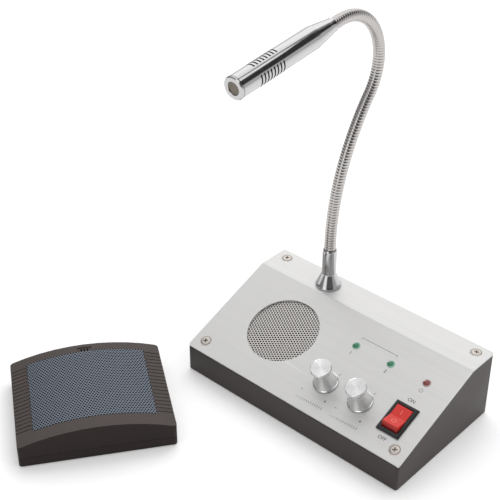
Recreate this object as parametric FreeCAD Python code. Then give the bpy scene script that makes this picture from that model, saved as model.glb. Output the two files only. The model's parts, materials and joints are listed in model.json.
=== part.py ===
"""Counter window intercom: a desk console with a gooseneck microphone, and the speaker unit
that stands on the customer's side of the glass.

Millimetres, +Z up. The origin is the centre of the console's flat underside, +X is to the
right of the person at the console and +Y points away from that person. Both units stand on
rubber pads, so the counter is one pad_stand below the origin.
"""

import FreeCAD
import Part
import math
import os

V = FreeCAD.Vector

# Shared sizes
overrun = 2.0              # how far a cutting tool runs past the face it opens
slip = 0.05                # radial clearance of a turning or pressed-in round piece
seat_gap = 0.1             # clearance round a piece that is dropped into a recess
pad_stand = 0.8            # how far the rubber pads lift both units off the counter

# How many flats a round piece is drawn with
knob_sides = 24
stem_sides = 20
grille_sides = 32
nose_sides = 16
screw_sides = 8
pad_sides = 16
small_sides = 12
speaker_sides = 16

# Console: a tray with a bent sheet over it
console_width = 158.0
console_depth = 88.8
front_height = 17.7
back_height = 43.6
flat_top_depth = 21.4
casing_wall = 2.0
casing_floor = 2.0
casing_corner_radius = 1.6
panel_thickness = 1.2
panel_bend_radius = 2.0
pad_diameter = 10.0
pad_sunk = 0.8
pad_inset = 12.0

# Panel screws and the bosses that take them
screw_head_diameter = 7.4
screw_head_depth = 1.9
screw_crown = 0.5
screw_crown_diameter = 5.6
screw_shank_diameter = 2.8
screw_length = 11.0
screw_side_inset = 8.0
screw_front_inset = 7.7
screw_back_inset = 6.6
boss_diameter = 8.0
recess_width = 1.0         # the cross in the head
recess_span = 4.0
recess_depth = 1.1

# Desk loudspeaker behind its grille
speaker_opening_diameter = 44.8
grille_thickness = 0.8
grille_rim = 3.4
grille_hole_across = 3.2
grille_hole_pitch = 6.0
speaker_depth = 17.0
speaker_magnet_diameter = 28.0
speaker_magnet_height = 6.5
gasket_thickness = 1.0

# Places on the panel: shares of the console's width from its middle, and of the slope's length
# from its front edge
speaker_side_share = -0.215
speaker_row_share = 0.532
first_column_share = 0.0728
column_pitch_share = 0.1582
knob_row_share = 0.310
lamp_row_share = 0.719
switch_row_share = 0.332
neck_side_share = -0.2127
power_socket_share = 0.33
line_socket_share = 0.19

# Volume controls
pot_width = 12.0
pot_height = 9.0
bushing_diameter = 7.0
bushing_height = 4.0
nut_across = 9.0
nut_height = 1.5
shaft_diameter = 6.0
shaft_flat_depth = 1.2
shaft_depth_share = 0.67    # of the can's height
shaft_top = 13.0
knob_lift = 0.4
knob_height = 14.8
knob_flange_diameter = 15.0
knob_flange_thickness = 1.0
knob_foot_diameter = 12.6
knob_waist_diameter = 11.0
knob_top_diameter = 12.6
knob_waist_share = 0.42    # share of the height up to the waist
knob_edge_chamfer = 0.35

# Indicator lamps
lamp_diameter = 4.8
lamp_rise = 1.9
lamp_flange_diameter = 5.8
lamp_flange_height = 1.2
lamp_dome_steps = 3
lamp_leg = 0.6
lamp_leg_spread = 2.54

# Rocker switch
bezel_width = 15.0
bezel_length = 21.0
bezel_height = 1.5
bezel_chamfer = 0.6
switch_body_width = 12.8
switch_body_length = 19.0
switch_body_depth = 13.0
rocker_width = 10.2
rocker_reach = 8.25        # radius of the rocker's ends about its pivot
rocker_end_height = 4.3
rocker_middle_height = 2.7
rocker_heel_depth = 2.8
rocker_pivot_depth = 1.0
rocker_tilt = 11.0         # each way from level, degrees
rocker_pin_diameter = 1.8
rocker_pin_length = 0.8
tab_width = 4.8
tab_thickness = 0.8
tab_length = 7.0

# Circuit board and what hangs from it
board_thickness = 1.6
board_margin = 9.0
chip_width = 12.0
chip_height = 9.0
chip_thickness = 3.0
sink_width = 24.0
sink_height = 12.0
sink_base = 1.6
sink_fin = 1.2
sink_fin_length = 7.0
sink_fin_count = 5
capacitor_diameter = 6.3
capacitor_height = 11.0
capacitor_count = 3

# Sockets in the console's back wall
socket_height = 12.0
power_body = 11.0
power_nose_diameter = 8.0
power_bore_diameter = 5.6
power_pin_diameter = 2.0
jack_body = 9.0
jack_nose_diameter = 5.8
jack_bore_diameter = 3.6
jack_body_length = 14.0
jack_bore_length = 13.0
nose_proud = 0.6

# Microphone socket on the flat top
neck_back_inset = 11.2
foot_diameter = 16.0
foot_rim_height = 1.9
foot_shoulder_diameter = 14.6
foot_cone_height = 9.2
stem_diameter = 8.8
stem_top = 26.3
stem_bevel = 0.7
tail_diameter = 10.0
tail_length = 10.0
tail_nut_across = 14.0
tail_nut_height = 3.0
lead_bore_diameter = 3.0

# Gooseneck: a straight start, a long lean back, a tight crook forward, a straight end
neck_diameter = 7.2
neck_groove_depth = 0.5
neck_rib_pitch = 1.76
neck_start_straight = 3.6
neck_lean_radius = 144.7
neck_lean_angle = 37.7
neck_crook_radius = 34.4
neck_crook_angle = 134.7
neck_end_straight = 6.0
neck_seat_depth = 5.0
neck_first_joint = 10.0
neck_last_joint = 12.0     # from the microphone end
neck_joint_count = 7
neck_joint_cone = 12.0     # flank of the gap at a joint, degrees on each side
neck_sides = 8
neck_bore_sides = 8
neck_bore_step = 9.0       # the lead bore turns in straight pieces of about this length

# Microphone head
head_length = 78.0
head_diameter = 13.4
head_neck_diameter = 8.6
head_taper_length = 17.0
head_wall = 0.8
head_slot_count = 8
head_slot_pitch = 2.55
head_slot_width = 1.0
head_sides = 21            # seven flats to each third of the head, four of them slotted
head_slot_flats = 4
head_slot_groups = 3
head_slot_turn = -3.0      # direction of the first group's middle, degrees up from +X
head_slot_front = 20.0     # first slot, from the front face
tip_ring_length = 2.4
tip_ring_bevel = 0.6
tip_opening_diameter = 7.4
tip_mesh_thickness = 0.4
mic_diameter = 9.7
mic_length = 6.7
mic_holder_length = 8.0

# Outside unit: its place, then its sizes
outer_x = -61.2
outer_y = -134.2
outer_heading = 54.4       # degrees from +X to the unit's width
outer_width = 89.4
outer_depth = 75.4
outer_side_height = 13.4
outer_crown = 7.9
outer_corner_radius = 2.0
outer_wall = 2.0
outer_seam_height = 5.8
outer_seam_groove = 0.4
outer_window_side = 11.5   # from each side to the window
outer_window_front = 11.3
outer_window_back = 8.5
outer_grille_rim = 1.8
outer_grille_thickness = 0.8
outer_hole_width = 5.6
outer_hole_pitch = 8.4
outer_hole_columns = 8
outer_groove_pitch = 3.2
outer_groove_front = 11.5  # from the front edge to the first groove
outer_groove_back = 9.4    # at least this far from the back edge
outer_groove_width = 1.3
outer_groove_depth = 0.3
outer_groove_side_gap = 0.5
outer_slot_count = 3
outer_slot_pitch = 1.9
outer_slot_width = 1.0
outer_slot_length = 2.2
outer_slot_inset = 4.9     # from the back edge
outer_slot_recess_width = 8.4
outer_slot_recess_length = 4.2
outer_slot_recess_depth = 0.5
outer_post_diameter = 6.0
outer_post_inset = 6.2
outer_screw_diameter = 2.6
outer_screw_head_diameter = 5.2
outer_screw_head_height = 1.4
outer_screw_length = 10.0
outer_speaker_diameter = 40.0
outer_speaker_depth = 14.0
outer_magnet_diameter = 22.0
outer_magnet_height = 5.0
outer_mic_diameter = 6.0
outer_mic_length = 3.4
outer_boot_wall = 1.0
outer_jack_inset = 22.7    # from the right side
outer_jack_height = 10.4
outer_pad_diameter = 8.0
outer_pad_inset = 16.0

# How a loudspeaker is drawn: shares of its diameter
basket_flange_share = 0.06
basket_back_share = 0.5
cone_throat_share = 0.3
cap_share = 0.32
sheet_share = 0.016

# Derived sizes
front_y = -console_depth / 2
back_y = console_depth / 2
bend_y = back_y - flat_top_depth
slope_angle = math.atan2(back_height - front_height, bend_y - front_y)
board_drop = panel_thickness + pot_height
neck_root_y = back_y - neck_back_inset
neck_root_z = back_height + stem_top
outer_crown_radius = ((outer_width / 2) ** 2 + outer_crown ** 2) / (2 * outer_crown)
slope_length = math.hypot(bend_y - front_y, back_height - front_height)
speaker_x = console_width * speaker_side_share
speaker_row = slope_length * speaker_row_share
first_column = console_width * first_column_share
column_pitch = console_width * column_pitch_share
knob_row = slope_length * knob_row_share
lamp_row = slope_length * lamp_row_share
switch_row = slope_length * switch_row_share
neck_x = console_width * neck_side_share
power_socket_x = console_width * power_socket_share
line_socket_x = console_width * line_socket_share
outer_window_width = outer_width - 2 * outer_window_side
outer_window_depth = outer_depth - outer_window_front - outer_window_back
outer_window_middle = outer_window_front + outer_window_depth / 2
outer_jack_x = outer_width / 2 - outer_jack_inset


# Shape helpers

def box(x0, x1, y0, y1, z0, z1):
    """A block between two opposite corners."""
    return Part.makeBox(x1 - x0, y1 - y0, z1 - z0, V(x0, y0, z0))


def centred_box(width, depth, z0, z1, x=0.0, y=0.0):
    """A block centred on x and y."""
    return box(x - width / 2, x + width / 2, y - depth / 2, y + depth / 2, z0, z1)


def rod(diameter, z0, z1, x=0.0, y=0.0):
    """A round bar along Z."""
    return Part.makeCylinder(diameter / 2, z1 - z0, V(x, y, z0))


def ring_of_corners(diameter, z, sides, turn=0.0):
    """The corners of a regular many-sided ring across Z, lying on the diameter."""
    corners = []
    for i in range(sides):
        angle = 2 * math.pi * i / sides + math.radians(turn)
        corners.append(V(diameter / 2 * math.cos(angle), diameter / 2 * math.sin(angle), z))
    return corners


def closed_polygon(corners):
    """A closed wire through the corners."""
    return Part.makePolygon(list(corners) + [corners[0]])


def banded(rings, bored=False):
    """A solid with a band of flats from each ring of corners to the next. It is capped at both
    ends or, when bored, the last ring runs back to the first."""
    pairs = list(zip(rings, rings[1:]))
    faces = []
    if bored:
        pairs.append((rings[-1], rings[0]))
    else:
        faces = [Part.Face(closed_polygon(rings[0])), Part.Face(closed_polygon(rings[-1]))]
    for low, high in pairs:
        for i in range(len(low)):
            j = (i + 1) % len(low)
            faces.append(Part.Face(closed_polygon([low[i], low[j], high[j], high[i]])))
    solid = Part.Solid(Part.Shell(faces))
    if solid.Volume < 0:
        solid.reverse()
    return solid


def turned(outline, sides, bored=False, turn=0.0):
    """A round piece through (diameter, height) steps, drawn with flats. When bored, the steps
    run up the outside and back down the inside."""
    return banded([ring_of_corners(d, z, sides, turn) for d, z in outline], bored)


def round_bar(diameter, z0, z1, sides, x=0.0, y=0.0):
    """A plain round piece drawn with flats."""
    bar = turned([(diameter, z0), (diameter, z1)], sides)
    bar.translate(V(x, y, 0))
    return bar


def hexagon(across, z0, z1, x=0.0, y=0.0):
    """A six-sided bar, across its flats."""
    return round_bar(across / math.cos(math.pi / 6), z0, z1, 6, x, y)


def rounded_rectangle(width, depth, radius, z, x=0.0, y=0.0):
    """A closed wire across Z with round corners."""
    hx, hy, k = width / 2, depth / 2, radius * (1 - math.sqrt(0.5))
    edges = []
    for sx, sy in ((1, 1), (-1, 1), (-1, -1), (1, -1)):
        a = V(x + sx * hx, y + sy * (hy - radius), z)
        b = V(x + sx * (hx - radius), y + sy * hy, z)
        middle = V(x + sx * (hx - k), y + sy * (hy - k), z)
        pair = (a, b) if sx * sy > 0 else (b, a)
        edges.append(Part.Arc(pair[0], middle, pair[1]).toShape())
    wires = []
    for i, edge in enumerate(edges):
        wires.append(edge)
        start = edge.Vertexes[-1].Point
        end = edges[(i + 1) % len(edges)].Vertexes[0].Point
        wires.append(Part.makeLine(start, end))
    return Part.Wire(wires)


def rounded_block(width, depth, radius, z0, z1, x=0.0, y=0.0):
    """An upright block with round vertical edges."""
    return Part.Face(rounded_rectangle(width, depth, radius, z0, x, y)).extrude(V(0, 0, z1 - z0))


def side_profile(points, half_width):
    """A solid of one (y, z) outline across the width."""
    corners = [V(-half_width, y, z) for y, z in points]
    face = Part.Face(Part.makePolygon(corners + corners[:1]))
    return face.extrude(V(2 * half_width, 0, 0))


def fused(shapes):
    """Several shapes as one."""
    whole = shapes[0]
    if len(shapes) > 1:
        whole = whole.fuse(shapes[1:])
    return whole.removeSplitter()


def one_solid(shape):
    """The single solid in a shape."""
    return shape.Solids[0] if len(shape.Solids) == 1 else shape


def on_slope(shape, x=0.0, row=0.0):
    """Places a shape drawn at the origin onto the sloping panel, row being up the slope."""
    turn = FreeCAD.Rotation(V(1, 0, 0), math.degrees(slope_angle))
    edge = FreeCAD.Placement(V(0, front_y, front_height), turn)
    place = edge.multiply(FreeCAD.Placement(V(x, row, 0), FreeCAD.Rotation()))
    shape.Placement = place.multiply(shape.Placement)
    return shape


def on_flat(shape, x, back_inset):
    """Places a shape drawn at the origin onto the flat part of the panel."""
    shape.translate(V(x, back_y - back_inset, back_height))
    return shape


def on_outer(shape):
    """Places a shape drawn in the outside unit's own frame: x across it, y from its front edge."""
    turn = FreeCAD.Rotation(V(0, 0, 1), outer_heading)
    shape.Placement = FreeCAD.Placement(V(outer_x, outer_y, 0), turn).multiply(shape.Placement)
    return shape


def save(name, shape):
    """Writes one sub-part."""
    shape = shape.removeSplitter() if len(shape.Solids) == 1 else shape
    solids = shape.Solids
    for solid in solids:
        if not solid.isValid() or not solid.isClosed():
            print("NOT VALID", name)
    whole = solids[0] if len(solids) == 1 else Part.makeCompound(solids)
    whole.exportStep("parts/" + name + ".step")
    print(name, len(solids), round(whole.Volume, 1))


# Console casing and panel

def under_panel_outline(wall, bottom):
    """The (y, z) outline of what lies under the bent sheet, drawn in by a wall."""
    run = panel_thickness * math.tan(slope_angle / 2)
    rise = math.tan(slope_angle)
    front_z = front_height - panel_thickness / math.cos(slope_angle)
    top_z = back_height - panel_thickness
    return [(front_y + wall, bottom), (back_y - wall, bottom), (back_y - wall, top_z),
            (bend_y + run, top_z), (front_y + wall, front_z + wall * rise)]


def screw_places():
    """Each panel screw's side, and the function that sets a shape at its place."""
    x = console_width / 2 - screw_side_inset
    places = []
    for side in (-x, x):
        places.append(lambda s, side=side: on_slope(s, side, screw_front_inset))
        places.append(lambda s, side=side: on_flat(s, side, screw_back_inset))
    return places


def pad_places(half_x, low_y, high_y):
    """The four corners where pads stand."""
    return [(x, y) for x in (-half_x, half_x) for y in (low_y, high_y)]


def console_pads():
    return pad_places(console_width / 2 - pad_inset, front_y + pad_inset, back_y - pad_inset)


def base_casing():
    """The tray: four walls and a floor, screw bosses, pad recesses and two socket holes."""
    outside = side_profile(under_panel_outline(0, 0), console_width / 2)
    edges = rounded_block(console_width, console_depth, casing_corner_radius, 0, back_height)
    inside = side_profile(under_panel_outline(casing_wall, casing_floor), console_width / 2 - casing_wall)
    open_top = box(-console_width / 2 + casing_wall, console_width / 2 - casing_wall,
                   front_y + casing_wall, back_y - casing_wall, front_height, back_height)
    block = outside.common(edges)
    tray = block.cut(inside).cut(open_top)
    for place in screw_places():
        boss = place(round_bar(boss_diameter, -2 * back_height, 0, screw_sides)).common(block)
        tray = fused([tray, boss])
    for place in screw_places():
        tray = tray.cut(place(screw_hole()))
    for x, y in console_pads():
        tray = tray.cut(round_bar(pad_diameter + 2 * seat_gap, -overrun, pad_sunk, pad_sides, x, y))
    for x, diameter in ((power_socket_x, power_nose_diameter), (line_socket_x, jack_nose_diameter)):
        hole = round_bar(diameter + 2 * seat_gap, -overrun, casing_wall + overrun, nose_sides)
        tray = tray.cut(facing_back(hole, x, socket_height))
    return one_solid(tray)


def facing_back(shape, x, z):
    """Turns a shape drawn along +Z so that it points into the console from its back wall."""
    turn = FreeCAD.Rotation(V(1, 0, 0), 90)
    shape.Placement = FreeCAD.Placement(V(x, back_y, z), turn).multiply(shape.Placement)
    return shape


def bent_sheet():
    """The slope and the flat top as one sheet with a rounded bend."""
    low = under_panel_outline(0, 0)
    outer = [V(0, front_y, front_height), V(0, bend_y, back_height), V(0, back_y, back_height)]
    inner = [V(0, back_y, back_height - panel_thickness), V(0, low[3][0], low[3][1])]
    foot = V(0, front_y + panel_thickness * math.sin(slope_angle),
             front_height - panel_thickness * math.cos(slope_angle))
    corners = outer + inner + [foot]
    face = Part.Face(Part.makePolygon(corners + corners[:1]))
    sheet = face.extrude(V(console_width, 0, 0))
    sheet.translate(V(-console_width / 2, 0, 0))
    bend = [e for e in sheet.Edges if is_bend(e, back_height)]
    return sheet.makeFillet(panel_bend_radius, bend)


def is_bend(edge, height):
    """Is this the long outer edge where the sheet bends?"""
    points = [v.Point for v in edge.Vertexes]
    near = [abs(p.y - bend_y) < slip and abs(p.z - height) < slip for p in points]
    return len(points) == 2 and all(near)


def top_panel():
    """The bent sheet with its openings: grille, controls, lamps, switch, socket and screws."""
    sheet = bent_sheet()
    plan = rounded_block(console_width, console_depth, casing_corner_radius,
                         0, back_height + overrun)
    sheet = sheet.common(plan)
    through = (-panel_thickness - overrun, overrun)
    holes = [on_slope(rod(speaker_opening_diameter, *through), speaker_x, speaker_row)]
    for column in range(2):
        x = first_column + column * column_pitch
        holes.append(on_slope(round_bar(bushing_diameter + 2 * seat_gap, *through, pad_sides), x, knob_row))
    for column in range(3):
        x = first_column + column * column_pitch
        holes.append(on_slope(round_bar(lamp_diameter + 2 * seat_gap, *through, pad_sides), x, lamp_row))
    cutout = centred_box(switch_body_width + 2 * seat_gap, switch_body_length + 2 * seat_gap, *through)
    holes.append(on_slope(cutout, switch_x(), switch_row))
    holes.append(on_flat(round_bar(tail_diameter + 2 * seat_gap, *through, pad_sides), neck_x, neck_back_inset))
    for place in screw_places():
        holes.append(place(screw_hole()))
    for hole in holes:
        sheet = sheet.cut(hole)
    return one_solid(sheet)


def screw_hole():
    """The room a panel screw needs, head upwards at z 0."""
    head = screw_head_diameter + 2 * slip
    shank = screw_shank_diameter + 2 * slip
    return turned([(shank, -screw_length - seat_gap), (shank, -screw_head_depth), (head, 0),
                   (head, overrun)], screw_sides)


def panel_screw():
    """A raised countersunk screw with a cross recess."""
    body = turned([(screw_shank_diameter, -screw_length), (screw_shank_diameter, -screw_head_depth),
                   (screw_head_diameter, 0), (screw_crown_diameter, screw_crown)], screw_sides)
    depth = screw_crown - recess_depth
    cross = fused([centred_box(recess_width, recess_span, depth, screw_crown + overrun),
                   centred_box(recess_span, recess_width, depth, screw_crown + overrun)])
    return body.cut(cross)


def panel_screws():
    return Part.makeCompound([place(panel_screw()) for place in screw_places()])


def rubber_pads(diameter, places, top):
    """Round pads from the counter up into their recesses."""
    return Part.makeCompound([round_bar(diameter, -pad_stand, top, pad_sides, x, y) for x, y in places])


# Desk loudspeaker

def speaker_grille():
    """A steel disc pierced with a staggered pattern, lying under the panel's opening."""
    top = -panel_thickness
    disc = round_bar(speaker_opening_diameter + 2 * grille_rim, top - grille_thickness, top, grille_sides)
    limit = speaker_opening_diameter / 2 - grille_hole_across
    row_pitch = grille_hole_pitch * math.sqrt(0.75)
    rows = int(limit / row_pitch)
    holes = []
    for row in range(-rows, rows + 1):
        y = row * row_pitch
        shift = (row % 2) / 2
        count = int(limit / grille_hole_pitch) + 1
        for column in range(-count, count + 1):
            x = (column + shift) * grille_hole_pitch
            if math.hypot(x, y) <= limit:
                holes.append(hexagon(grille_hole_across, top - grille_thickness - overrun,
                                     top + overrun, x, y))
    disc = disc.cut(Part.makeCompound(holes))
    return on_slope(one_solid(disc), speaker_x, speaker_row)


def basket(diameter, depth, top):
    """A loudspeaker's pressed frame: a flat flange, a tapering wall and a back ring."""
    sheet = diameter * sheet_share
    inner = diameter * (1 - 2 * basket_flange_share)
    back = diameter * basket_back_share
    throat = diameter * (cone_throat_share + 2 * sheet_share)
    return turned([(throat, top - depth), (back + 2 * sheet, top - depth),
                   (inner + 2 * sheet, top - sheet), (diameter, top - sheet), (diameter, top),
                   (inner, top), (back, top - depth + sheet), (throat, top - depth + sheet)],
                  speaker_sides, True)


def paper_cone(diameter, depth, top):
    """A loudspeaker's cone: a rolled edge on the frame's flange and a shallow dust cap."""
    sheet = diameter * sheet_share
    mouth = diameter * (1 - 4 * basket_flange_share)
    throat = diameter * cone_throat_share
    cap = diameter * cap_share
    low = top - depth
    return turned([(throat, low), (mouth, top), (diameter, top), (diameter, top + sheet),
                   (mouth - sheet, top + sheet), (cap, low + 2 * sheet),
                   (throat / 2, low + 4 * sheet)], speaker_sides)


def magnet(diameter, height, top):
    """A loudspeaker's magnet with its front plate."""
    return round_bar(diameter, top - height, top, speaker_sides)


def desk_speaker():
    """The desk loudspeaker's four pieces, each with its name."""
    diameter = speaker_opening_diameter + 2 * grille_rim
    grille_back = -panel_thickness - grille_thickness
    flange_top = grille_back - gasket_thickness
    cone_depth = speaker_depth - speaker_magnet_height
    sheet = diameter * sheet_share
    bore = speaker_opening_diameter
    pieces = {
        "speaker_gasket": turned([(diameter, flange_top), (diameter, grille_back), (bore, grille_back),
                                  (bore, flange_top)], speaker_sides, True),
        "speaker_basket": basket(diameter, cone_depth, flange_top),
        "speaker_cone": paper_cone(bore - 2 * seat_gap, cone_depth - 2 * sheet, flange_top),
        "speaker_magnet": magnet(speaker_magnet_diameter, speaker_magnet_height,
                                 flange_top - cone_depth),
    }
    return {name: on_slope(shape, speaker_x, speaker_row) for name, shape in pieces.items()}


# Controls

def switch_x():
    """The switch stands in the third column."""
    return first_column + 2 * column_pitch


def circuit_board():
    """The board that hangs from the volume controls, cut away for the switch."""
    top = -board_drop
    left = first_column - board_margin
    right = switch_x() + board_margin
    low = knob_row - board_margin
    high = lamp_row + board_margin
    step_x = switch_x() - bezel_width / 2 - seat_gap
    step_y = switch_row + bezel_length / 2 + seat_gap
    plate = box(left, step_x, low, high, top - board_thickness, top)
    wing = box(step_x, right, step_y, high, top - board_thickness, top)
    return on_slope(one_solid(fused([plate, wing])))


def under_board(shape, x, row):
    """Hangs a shape, drawn with its top at z 0, from the board's underside."""
    shape.translate(V(0, 0, -board_drop - board_thickness))
    return on_slope(shape, x, row)


def amplifier_chip():
    """The power amplifier, standing down from the board with its back on the heat sink."""
    row = (knob_row + lamp_row) / 2
    chip = box(-chip_width / 2, chip_width / 2, 0, chip_thickness, -chip_height, 0)
    return under_board(chip, first_column + column_pitch / 2, row)


def heat_sink():
    """A finned plate behind the amplifier."""
    row = (knob_row + lamp_row) / 2 + chip_thickness
    plate = box(-sink_width / 2, sink_width / 2, 0, sink_base, -sink_height, 0)
    gap = (sink_width - sink_fin) / (sink_fin_count - 1)
    fins = []
    for i in range(sink_fin_count):
        x = -sink_width / 2 + i * gap
        fins.append(box(x, x + sink_fin, sink_base, sink_base + sink_fin_length, -sink_height, 0))
    return under_board(one_solid(fused([plate] + fins)), first_column + column_pitch / 2, row)


def board_capacitors():
    """Round capacitors in a row under the lamp side of the board."""
    cans = []
    for i in range(capacitor_count):
        x = first_column + column_pitch + i * (capacitor_diameter + board_thickness)
        cans.append(under_board(round_bar(capacitor_diameter, -capacitor_height, 0, small_sides),
                                x, lamp_row))
    return Part.makeCompound(cans)


def volume_pot(x):
    """A volume control: a square can on the board and a threaded bushing through the panel."""
    can = centred_box(pot_width, pot_width, -board_drop, -panel_thickness)
    bushing = round_bar(bushing_diameter, -panel_thickness, bushing_height, nose_sides)
    bore = round_bar(shaft_diameter + 2 * slip, shaft_bottom() - seat_gap, bushing_height + overrun,
                     nose_sides)
    return on_slope(one_solid(fused([can, bushing]).cut(bore)), x, knob_row)


def shaft_bottom():
    """How far the shaft reaches down into the can."""
    return -panel_thickness - pot_height * shaft_depth_share


def pot_nuts():
    """The nuts that hold both volume controls to the panel."""
    nuts = []
    for column in range(2):
        nut = hexagon(nut_across, 0, nut_height)
        nut = nut.cut(round_bar(bushing_diameter + 2 * slip, -overrun, nut_height + overrun, nose_sides))
        nuts.append(on_slope(nut, first_column + column * column_pitch, knob_row))
    return Part.makeCompound(nuts)


def shaft_shape(gap):
    """The flatted shaft, or with a gap the hole that takes it."""
    radius = shaft_diameter / 2 + gap
    bar = round_bar(2 * radius, shaft_bottom(), shaft_top + gap, nose_sides)
    flat = shaft_diameter / 2 - shaft_flat_depth + gap
    away = box(flat, flat + shaft_diameter, -shaft_diameter, shaft_diameter,
               bushing_height, shaft_top + overrun)
    return bar.cut(away)


def knob(x):
    """A turned aluminium knob: a thin flange, a drawn-in waist and a flat top, hollow below."""
    top = knob_lift + knob_height
    flange_top = knob_lift + knob_flange_thickness
    body = turned([(knob_flange_diameter, knob_lift), (knob_flange_diameter, flange_top),
                   (knob_foot_diameter, flange_top),
                   (knob_waist_diameter, flange_top + knob_height * knob_waist_share),
                   (knob_top_diameter, top - knob_edge_chamfer),
                   (knob_top_diameter - 2 * knob_edge_chamfer, top)], knob_sides)
    corner = nut_across / math.cos(math.pi / 6)
    nut_room = round_bar(corner + 6 * seat_gap, knob_lift - overrun, nut_height + 2 * seat_gap, nose_sides)
    bushing_room = round_bar(bushing_diameter + 4 * seat_gap, knob_lift,
                             bushing_height + 2 * seat_gap, nose_sides)
    body = body.cut(fused([nut_room, bushing_room])).cut(shaft_shape(slip))
    return on_slope(one_solid(body), x, knob_row)


def lamp(column):
    """A lamp: a domed lens over a flange under the panel, on two legs that stand on the board."""
    radius = lamp_diameter / 2
    spring = lamp_rise - radius
    low = -panel_thickness - lamp_flange_height
    outline = [(lamp_flange_diameter, low), (lamp_flange_diameter, -panel_thickness),
               (lamp_diameter, -panel_thickness)]
    for step in range(lamp_dome_steps):
        angle = step * math.pi / 2 / lamp_dome_steps
        outline.append((lamp_diameter * math.cos(angle), spring + radius * math.sin(angle)))
    body = turned(outline, small_sides)
    legs = []
    for side in (-lamp_leg_spread / 2, lamp_leg_spread / 2):
        legs.append(centred_box(lamp_leg, lamp_leg, -board_drop, low, side))
    return on_slope(one_solid(fused([body] + legs)), first_column + column * column_pitch, lamp_row)


# Rocker switch

def rocker_window():
    """Width and length of the well that the rocker swings in."""
    return rocker_width + 4 * seat_gap, 2 * rocker_reach + 4 * seat_gap


def switch_housing():
    """The switch's body with its framed face, its well and the holes for the rocker's pins."""
    wide, long = rocker_window()
    chamfer = 2 * bezel_chamfer
    face = banded([rectangle(bezel_width, bezel_length, 0),
                   rectangle(bezel_width, bezel_length, bezel_height - bezel_chamfer),
                   rectangle(bezel_width - chamfer, bezel_length - chamfer, bezel_height)])
    body = centred_box(switch_body_width, switch_body_length, -switch_body_depth, 0)
    heel = rocker_reach * math.sin(math.radians(2 * rocker_tilt) + rocker_heel_angle())
    floor = -rocker_pivot_depth - heel - seat_gap
    well = centred_box(wide, long, floor, bezel_height + overrun)
    pin = rod(rocker_pin_diameter + 2 * slip, -rocker_pin_reach() - seat_gap, rocker_pin_reach() + seat_gap)
    pin.rotate(V(0, 0, 0), V(0, 1, 0), 90)
    pin.translate(V(0, 0, -rocker_pivot_depth))
    housing = fused([face, body]).cut(well).cut(pin)
    return on_slope(one_solid(housing), switch_x(), switch_row)


def rectangle(width, depth, z):
    """The four corners of an upright block's end."""
    return [V(-width / 2, -depth / 2, z), V(width / 2, -depth / 2, z),
            V(width / 2, depth / 2, z), V(-width / 2, depth / 2, z)]


def rocker_pin_reach():
    return rocker_width / 2 + rocker_pin_length


def rocker_heel_angle():
    """How far below the pivot's level the round end face runs."""
    return math.asin(rocker_heel_depth / rocker_reach)


def switch_rocker():
    """The rocker, shown with its far end pressed: two faces meeting in a shallow V."""
    side = math.asin(rocker_end_height / rocker_reach)
    heel = rocker_heel_angle()

    def at(angle):
        return V(0, rocker_reach * math.cos(angle), rocker_reach * math.sin(angle))

    right = Part.Arc(at(-heel), at((side - heel) / 2), at(side)).toShape()
    left = Part.Arc(at(math.pi - side), at(math.pi + (heel - side) / 2), at(math.pi + heel)).toShape()
    middle = V(0, 0, rocker_middle_height)
    edges = [right, Part.makeLine(at(side), middle), Part.makeLine(middle, at(math.pi - side)),
             left, Part.makeLine(at(math.pi + heel), at(-heel))]
    body = Part.Face(Part.Wire(edges)).extrude(V(rocker_width, 0, 0))
    body.translate(V(-rocker_width / 2, 0, 0))
    pin = rod(rocker_pin_diameter, -rocker_pin_reach(), rocker_pin_reach())
    pin.rotate(V(0, 0, 0), V(0, 1, 0), 90)
    body = one_solid(fused([body, pin]))
    tilt = FreeCAD.Placement(V(0, 0, -rocker_pivot_depth), FreeCAD.Rotation(V(1, 0, 0), -rocker_tilt))
    body.Placement = tilt
    return on_slope(body, switch_x(), switch_row)


def switch_tabs():
    """The two blade terminals under the switch."""
    tabs = []
    for side in (-1, 1):
        y = side * switch_body_length / 4
        low = -switch_body_depth - tab_length
        tabs.append(on_slope(centred_box(tab_width, tab_thickness, low, -switch_body_depth, 0, y),
                             switch_x(), switch_row))
    return Part.makeCompound(tabs)


# Sockets in the back wall

def power_inlet():
    """The low-voltage inlet: a square body, a round nose and the pin that the plug goes over."""
    body = centred_box(power_body, power_body, casing_wall, casing_wall + jack_body_length)
    nose = round_bar(power_nose_diameter, -nose_proud, casing_wall, nose_sides)
    bore = round_bar(power_bore_diameter, -nose_proud - overrun, jack_bore_length, nose_sides)
    pin = round_bar(power_pin_diameter, 0, jack_bore_length, small_sides)
    shape = fused([fused([body, nose]).cut(bore), pin])
    return facing_back(one_solid(shape), power_socket_x, socket_height)


def jack(bore_length):
    """A small round jack on a square body, its mouth towards -Z and the wall's outside at z 0."""
    body = centred_box(jack_body, jack_body, casing_wall, casing_wall + jack_body_length)
    nose = round_bar(jack_nose_diameter, -nose_proud, casing_wall, nose_sides)
    bore = rod(jack_bore_diameter, -nose_proud - overrun, bore_length)
    return one_solid(fused([body, nose]).cut(bore))


def outside_jack():
    """The socket that the outside unit's lead plugs into."""
    return facing_back(jack(jack_bore_length), line_socket_x, socket_height)


# Microphone socket and gooseneck

def mic_socket():
    """The turned foot and stem that carry the gooseneck, with a threaded tail through the panel."""
    seat_floor = stem_top - neck_seat_depth
    seat = neck_diameter + 2 * slip
    outline = [(tail_diameter, -tail_length), (tail_diameter, 0), (foot_diameter, 0),
               (foot_diameter, foot_rim_height / 2), (foot_shoulder_diameter, foot_rim_height),
               (stem_diameter, foot_cone_height), (stem_diameter, stem_top - stem_bevel),
               (stem_diameter - stem_bevel, stem_top), (seat, stem_top), (seat, seat_floor),
               (lead_bore_diameter, seat_floor), (lead_bore_diameter, -tail_length)]
    return on_flat(turned(outline, stem_sides, True), neck_x, neck_back_inset)


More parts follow.
